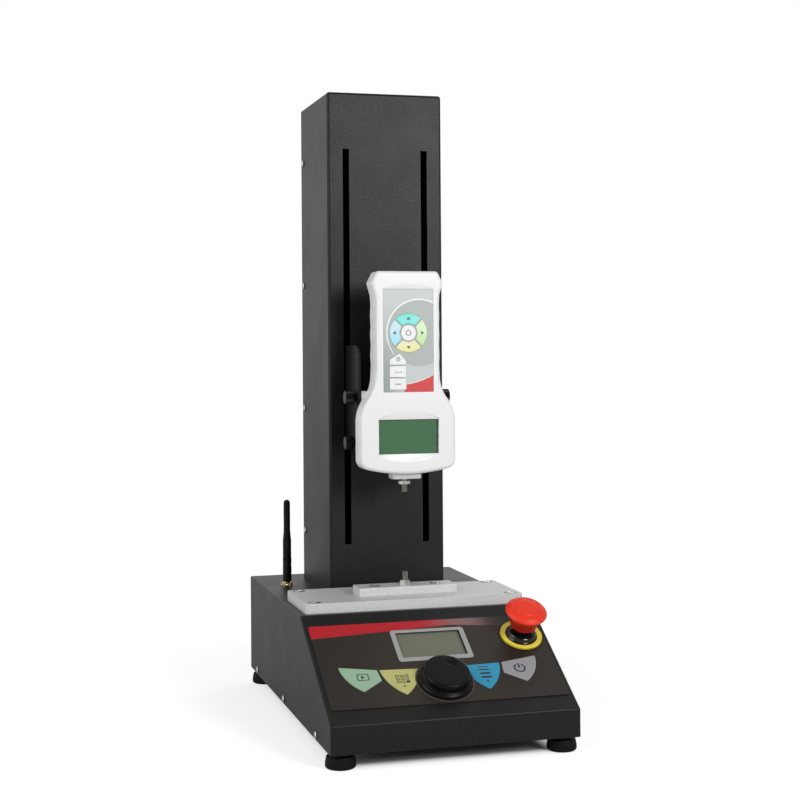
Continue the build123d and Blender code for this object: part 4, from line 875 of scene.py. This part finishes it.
# %% Flat form helpers
def raised(form, thickness, place):
    """Gives a flat form a thickness and sets it in place."""
    region = bmesh.ops.extrude_face_region(form, geom=form.faces[:])
    bmesh.ops.translate(form, vec=(0, 0, thickness * mm), verts=picked(region["geom"], bmesh.types.BMVert))
    bmesh.ops.transform(form, matrix=place, verts=form.verts)
    return form


def polygon(form, points):
    form.faces.new([form.verts.new((x * mm, y * mm, 0.0)) for x, y in points])


def rectangle(form, x, y, width, height):
    half_w, half_h = width / 2, height / 2
    polygon(form, [(x - half_w, y - half_h), (x + half_w, y - half_h), (x + half_w, y + half_h),
                   (x - half_w, y + half_h)])


def box_outline(form, x, y, width, height, line):
    """Four bars that frame a rectangle."""
    for side in (-1, 1):
        rectangle(form, x, y + side * (height - line) / 2, width, line)
        rectangle(form, x + side * (width - line) / 2, y, line, height - 2 * line)


def band(form, x, y, inner, outer, start, end, steps=32):
    """A flat band round a centre, between two angles in degrees."""
    turn = Matrix.Translation((x * mm, y * mm, 0)) @ Matrix.Rotation(radians(start), 4, "Z")
    verts = [form.verts.new(turn @ Vector((radius * mm, 0, 0))) for radius in (inner, outer)]
    edge = form.edges.new(verts)
    bmesh.ops.spin(form, geom=[*verts, edge], cent=(x * mm, y * mm, 0), axis=(0, 0, 1),
                   angle=radians(end - start), steps=steps, use_merge=False, use_duplicate=False)


print("flat form helpers are ready")

# %% Arrows on the mushroom head
arrow_inner, arrow_outer, arrow_reach = 14.0, 15.2, 62
arrow_height, arrow_thickness = 35.35, 0.25
form = bmesh.new()
for turn in (30, 150, 270):
    band(form, 0, 0, arrow_inner, arrow_outer, turn, turn + arrow_reach, 16)
raised(form, arrow_thickness, stop_place @ Matrix.Translation((0, 0, arrow_height * mm)))
# Painted shade: a darker red stands for the shade in the twist marks' grooves.
groove_painted_shade = make_finish("stop_red_groove_shade", (0.34, 0.010, 0.008), (0.40, 0.014, 0.010), 0.5, 1500.0, 0.1)
finished("stop_head_arrows", form, groove_painted_shade, "stop_head")

# %% [markdown]
# ## The yellow ring's dark edges
# A dark gasket shows round the yellow ring, and its top has a dark line at either edge.
# All are full bands, so the sweep's last step is merged with its first.

# %% Dark rim and edges of the yellow ring
gasket_bands, gasket_thickness = [(21.5, 22.4)], 0.5
edge_bands, edge_thickness = [(15.2, 15.95), (20.95, 21.5)], 0.04
stop_uv = on_panel().inverted() @ stop_foot / mm


def ring_bands(name, bands, thickness, height):
    """Full bands round the stop, raised from a height above the panel."""
    form = bmesh.new()
    for inner, outer in bands:
        band(form, 0, 0, inner, outer, 0, 360, 96)
    bmesh.ops.remove_doubles(form, verts=form.verts, dist=fine_gap)
    place = on_panel(height, stop_uv.x, stop_uv.y)
    return finished(name, raised(form, thickness, place), finishes["black_plastic"], "stop_ring")


ring_bands("stop_ring_rim", gasket_bands, gasket_thickness, overlay_top)
ring_bands("stop_ring_edges", edge_bands, edge_thickness, panel_box("stop_ring")[1][2])

# %% [markdown]
# ## The display's frame and the key icons
# A pale frame with rounded corners stands round the panel's display. Each key carries a plain
# icon: play, a number grid, a list and the power mark.
# Every icon is its own piece, because it has to travel with its key.

# %% Display frame
frame_outer, frame_corner = (37.3, 77.0, 121.5), 3.2
frame_inner, window_corner = (32.4, 82.4, 117.4), 1.0
frame_thickness = 0.35


def rounded_outline(half, low, high, radius, steps=8):
    """Corner arcs of a rounded rectangle, anticlockwise from the lower right."""
    points = []
    corners = ((1, low + radius, -90), (1, high - radius, 0), (-1, high - radius, 90),
               (-1, low + radius, 180))
    for side, middle, start in corners:
        for i in range(steps + 1):
            angle = radians(start + 90 * i / steps)
            points.append((side * (half - radius) + radius * cos(angle), middle + radius * sin(angle)))
    return points


def frame_form():
    form = bmesh.new()
    edges = []
    for size, radius in ((frame_outer, frame_corner), (frame_inner, window_corner)):
        verts = [form.verts.new((x * mm, y * mm, 0)) for x, y in rounded_outline(*size, radius)]
        edges += [form.edges.new((a, b)) for a, b in zip(verts, verts[1:] + verts[:1])]
    bmesh.ops.bridge_loops(form, edges=edges)
    return raised(form, frame_thickness, on_panel(overlay_top))


frame_grey = make_finish("frame_grey", (0.33, 0.325, 0.315), (0.38, 0.375, 0.365), 0.45, 900.0, 0.1)
softened(finished("display_frame", frame_form(), frame_grey, "panel_overlay"), 0.12)

# %% Panel key icons
key_top = panel_box("key_run")[1][2]
icon_thickness = 0.04


def icon(name, key, draw, base, finish):
    form = bmesh.new()
    draw(form)
    return finished(name, raised(form, icon_thickness, base), finish, key)


def draw_play(form):
    box_outline(form, -77.2, 59.3, 11.2, 8.8, 0.9)
    polygon(form, [(-78.9, 61.4), (-78.9, 57.2), (-75.2, 59.3)])


def draw_grid(form):
    for column in (-1, 0, 1):
        for row in (-1, 0, 1):
            if (column, row) != (1, -1):
                box_outline(form, -40.1 + column * 4.6, 53.9 + row * 4.0, 3.4, 2.9, 0.62)
    rectangle(form, -35.5, 49.9, 3.4, 2.9)
    polygon(form, [(-41.8, 45.2), (-40.4, 42.7), (-39.0, 45.2)])


def draw_list(form):
    for v, line in ((63.2, 0.8), (59.2, 1.6), (54.2, 2.1), (49.0, 2.3)):
        rectangle(form, 41.5, v, 10.2, line)
    polygon(form, [(39.8, 44.6), (41.2, 42.2), (42.6, 44.6)])


def draw_power(form):
    band(form, 77.5, 58.4, 4.3, 5.9, 118, 422, 40)
    rectangle(form, 77.5, 61.6, 1.6, 6.2)


for name, key, draw in (("icon_play", "key_run", draw_play), ("icon_grid", "key_digits", draw_grid),
                        ("icon_list", "key_list", draw_list), ("icon_power", "key_power", draw_power)):
    icon(name, key, draw, on_panel(key_top), ink)

# %% Gauge key icons
gauge_key_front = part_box("gauge_key_centre")[0].y
arrow_points = {
    "up": [(-2.0, 408.2), (2.0, 408.2), (0, 411.2)],
    "down": [(-2.0, 381.4), (0, 378.4), (2.0, 381.4)],
    "left": [(-13.4, 396.8), (-16.4, 394.8), (-13.4, 392.8)],
    "right": [(13.4, 396.8), (13.4, 392.8), (16.4, 394.8)],
}


def gauge_icon(name, key, draw):
    """An icon whose front-view millimetres are turned to face the user at the keys' depth."""
    facing = Matrix(((1, 0, 0, 0), (0, 0, -1, gauge_key_front), (0, 1, 0, 0), (0, 0, 0, 1)))
    icon(name, key, draw, facing, gauge_ink)


def draw_house(form):
    polygon(form, [(-13.3, 368.6), (-10.9, 370.9), (-8.5, 368.6), (-9.3, 368.6), (-10.9, 370.0),
                   (-12.5, 368.6)])
    box_outline(form, -10.9, 367.5, 3.4, 2.2, 0.5)


def draw_dot_row(form):
    for i in (-1, 0, 1):
        rectangle(form, -10.7 + i * 2.6, 355.0, 1.6, 0.8)


gauge_icon("icon_house", "gauge_soft_key_high", draw_house)
gauge_icon("icon_dots", "gauge_soft_key_middle", draw_dot_row)
gauge_icon("icon_bar", "gauge_soft_key_low", lambda form: rectangle(form, -11.4, 343.0, 6.4, 0.8))
gauge_icon("icon_zero", "gauge_key_centre", lambda form: band(form, 0, ring_centre[1], 2.2, 2.9, 0, 360, 24))
for way, points in arrow_points.items():
    gauge_icon(f"icon_{way}", f"gauge_key_{way}", lambda form: polygon(form, points))

# %% [markdown]
# ## Thumb screws
# The knurl on a thumb screw is a ring of fine ridges. A circle whose points alternate between two
# radii, pulled up into a drum whose ends are drawn in, gives them in three steps. The neck and
# the shank are spun.

# %% Knurled thumb screws
ridge_count, ridge_depth = 36, 0.45
drawn_length, drawn_width = 0.7, 0.93
thumb_head_radius, thumb_head_length = 7.2, 9.0
thumb_neck, thumb_neck_length, thumb_shank = 4.2, 2.4, 2.4
thumb_overlap = 0.1


def knurled_head(place, radius, low, high):
    """A ridged drum between two heights, its ends drawn in."""
    form = bmesh.new()
    made = bmesh.ops.create_circle(form, radius=radius * drawn_width * mm, segments=2 * ridge_count,
                                   cap_ends=True)
    for i, vert in enumerate(made["verts"]):
        vert.co.xy *= 1.0 if i % 2 else 1.0 - ridge_depth / radius
    bmesh.ops.translate(form, vec=(0, 0, low * mm), verts=form.verts)
    top = form.faces[:]
    straight = high - low - 2 * drawn_length
    for rise, scale in ((drawn_length, 1 / drawn_width), (straight, 1.0), (drawn_length, drawn_width)):
        grown = bmesh.ops.extrude_face_region(form, geom=top)
        top, moved = (picked(grown["geom"], kind) for kind in (bmesh.types.BMFace, bmesh.types.BMVert))
        bmesh.ops.scale(form, vec=(scale, scale, 1), verts=moved)
        bmesh.ops.translate(form, vec=(0, 0, rise * mm), verts=moved)
    bmesh.ops.transform(form, matrix=place, verts=form.verts)
    return form


def thumb_screw(node):
    axis = Vector(joints[f"{node}_turn"]["axis"])
    low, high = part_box(node)
    centre = (low + high) / 2
    outer, inner = (pick(abs(low.x), abs(high.x)) / mm for pick in (max, min))
    turn = axis.to_track_quat("Z", "Y").to_matrix().to_4x4()
    place = Matrix.Translation((0, centre.y, centre.z)) @ turn
    head_low = outer - thumb_head_length
    neck_low = head_low - thumb_neck_length
    form = knurled_head(place, thumb_head_radius, head_low, outer)
    shaft = lathe([(0, inner), (thumb_shank, inner), (thumb_shank, neck_low), (thumb_neck, neck_low),
                   (thumb_neck, head_low + thumb_overlap), (0, head_low + thumb_overlap)], place, 48)
    finished(f"{node}_form", join_form(form, shaft), finishes["black_plastic"], node, (node,), sharp=25.0)


for node in sorted(nodes):
    if node.startswith("thumb_screw_"):
        thumb_screw(node)

# %% [markdown]
# ## Floor, backdrop and light
# The stand sits on a plain white sweep, so floor and background read as one white with a soft
# shadow. The floor glows a little for the camera, and more with distance, which hides the horizon
# without putting any more light on the object. Metal and glass see only a share of that glow, and
# under the base there is none, so that the gap between the feet stays dark.

# %% Masks for the floor
mirrored_share = 0.12
shade_width, shade_depth = (30.0, 6.0), (28.0, 8.0)


def background_ray(tree):
    """What a ray sees of the white background: all from the camera, a share off metal and glass."""
    light_path = add_node(tree, "ShaderNodeLightPath")
    bounced = larger(tree, light_path.outputs["Is Glossy Ray"], light_path.outputs["Is Transmission Ray"])
    return larger(tree, light_path.outputs["Is Camera Ray"], product(tree, bounced, mirrored_share))


def clear_of_base(tree, x, y):
    """0 on the floor under the base, where no light comes, and 1 outside it."""
    low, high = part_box("base_cover")
    half, middle = (high - low) / 2, (high + low) / 2
    across, along = (faded(tree, apart(tree, value, centre), reach - start * mm, reach - end * mm)
                     for value, centre, reach, (start, end) in ((x, 0.0, half.x, shade_width),
                                                                (y, middle.y, half.y, shade_depth)))
    return larger(tree, across, along)


print("floor masks are ready")

# %% Floor
far_start, far_end = 0.35, 0.9
near_glow, far_glow = 0.62, 0.3
floor_radius, floor_grain = 6.0, 60.0
floor_white = (0.70, 0.70, 0.70), (0.72, 0.72, 0.72)


def floor_finish():
    made = bpy.data.materials.new("white_sweep")
    made.use_nodes = True
    tree = made.node_tree
    grains = use_group(tree, grain_group, {"Scale": floor_grain})
    shader = feed(tree, tree.nodes["Principled BSDF"], {
        "Base Color": mixed(tree, grains, *floor_white), "Roughness": 0.9, "Specular IOR Level": 0.1})
    x, y, _ = place_of(tree)
    far = faded(tree, distance_from(tree, x, y), far_start, far_end)
    seen = background_ray(tree)
    strength = added(tree, near_glow, product(tree, far, far_glow))
    strength = product(tree, strength, clear_of_base(tree, x, y))
    glow, white = (add_node(tree, "ShaderNodeEmission", {"Color": (1, 1, 1, 1), "Strength": power}).outputs[0]
                   for power in (product(tree, strength, seen), 1.0))
    both = add_node(tree, "ShaderNodeAddShader", {0: shader.outputs[0], 1: glow}).outputs[0]
    chosen = add_node(tree, "ShaderNodeMixShader", {0: product(tree, far, seen), 1: both, 2: white})
    feed(tree, tree.nodes["Material Output"], {"Surface": chosen.outputs[0]})
    return made


def lay_floor():
    form = bmesh.new()
    bmesh.ops.create_circle(form, cap_ends=True, radius=floor_radius, segments=64)
    mesh = bpy.data.meshes.new("floor")
    form.to_mesh(mesh)
    form.free()
    mesh.materials.append(floor_finish())
    floor = bpy.data.objects.new("floor", mesh)
    scene.collection.objects.link(floor)
    floor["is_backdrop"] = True


lay_floor()
print("floor laid")

# %% [markdown]
# A softbox stands at the right of the viewer and a weaker one at the left, with a third behind for
# the rear. Glossy surfaces find a white backdrop behind the stand and a darker room in front of
# it, which is what gives black sheet metal its bright sides and deep front.

# %% World and lamps
room_light = 0.33
room_front_gloss, room_back_gloss, gloss_reach = 0.28, 0.74, 0.9
lamps = {
    "key_lamp": ((0.76, -1.93, 1.0), 0.7, 23),
    "fill_lamp": ((-1.8, -0.6, 0.95), 1.4, 16),
    "back_lamp": ((1.3, 1.7, 1.4), 1.2, 6),
}


def light_the_room():
    world = bpy.data.worlds.new("studio")
    world.use_nodes = True
    tree = world.node_tree
    light_path = add_node(tree, "ShaderNodeLightPath")
    direction = add_node(tree, "ShaderNodeTexCoord").outputs["Generated"]
    along_y = add_node(tree, "ShaderNodeSeparateXYZ", {"Vector": direction}).outputs["Y"]
    back_share = faded(tree, along_y, -gloss_reach, gloss_reach)
    behind = product(tree, back_share, room_back_gloss - room_front_gloss)
    gloss = added(tree, behind, room_front_gloss - room_light)
    glossy = product(tree, light_path.outputs["Is Glossy Ray"], gloss)
    camera_part = product(tree, light_path.outputs["Is Camera Ray"], 1.0 - room_light)
    strength = added(tree, room_light, added(tree, glossy, camera_part))
    feed(tree, tree.nodes["Background"], {"Color": (1, 1, 1, 1), "Strength": strength})
    scene.world = world


def soft_lamp(name, place, target, width, watts):
    """A square softbox in metres and watts, aimed at a point."""
    data = bpy.data.lights.new(name, "AREA")
    data.size = width
    data.energy = watts
    lamp = bpy.data.objects.new(name, data)
    scene.collection.objects.link(lamp)
    aim = (target - Vector(place)).to_track_quat("-Z", "Y")
    lamp.matrix_world = Matrix.Translation(place) @ aim.to_matrix().to_4x4()


light_the_room()
for name, (place, width, watts) in lamps.items():
    soft_lamp(name, place, (cad_box[0] + cad_box[1]) / 2, width, watts)
scene.view_settings.view_transform = "Standard"
print("world and", len(lamps), "lamps set")

# %% [markdown]
# ## Sizes, and the end
# The dressed object may stand only a hair outside the CAD box. Both boxes are measured here, and
# the largest difference between them is printed.

# %% Measure the sizes and finish
visual_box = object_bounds()
largest = max(abs(a - b) for cad, seen in zip(cad_box, visual_box) for a, b in zip(cad, seen))
print("largest difference", round(largest / mm, 2), "mm")
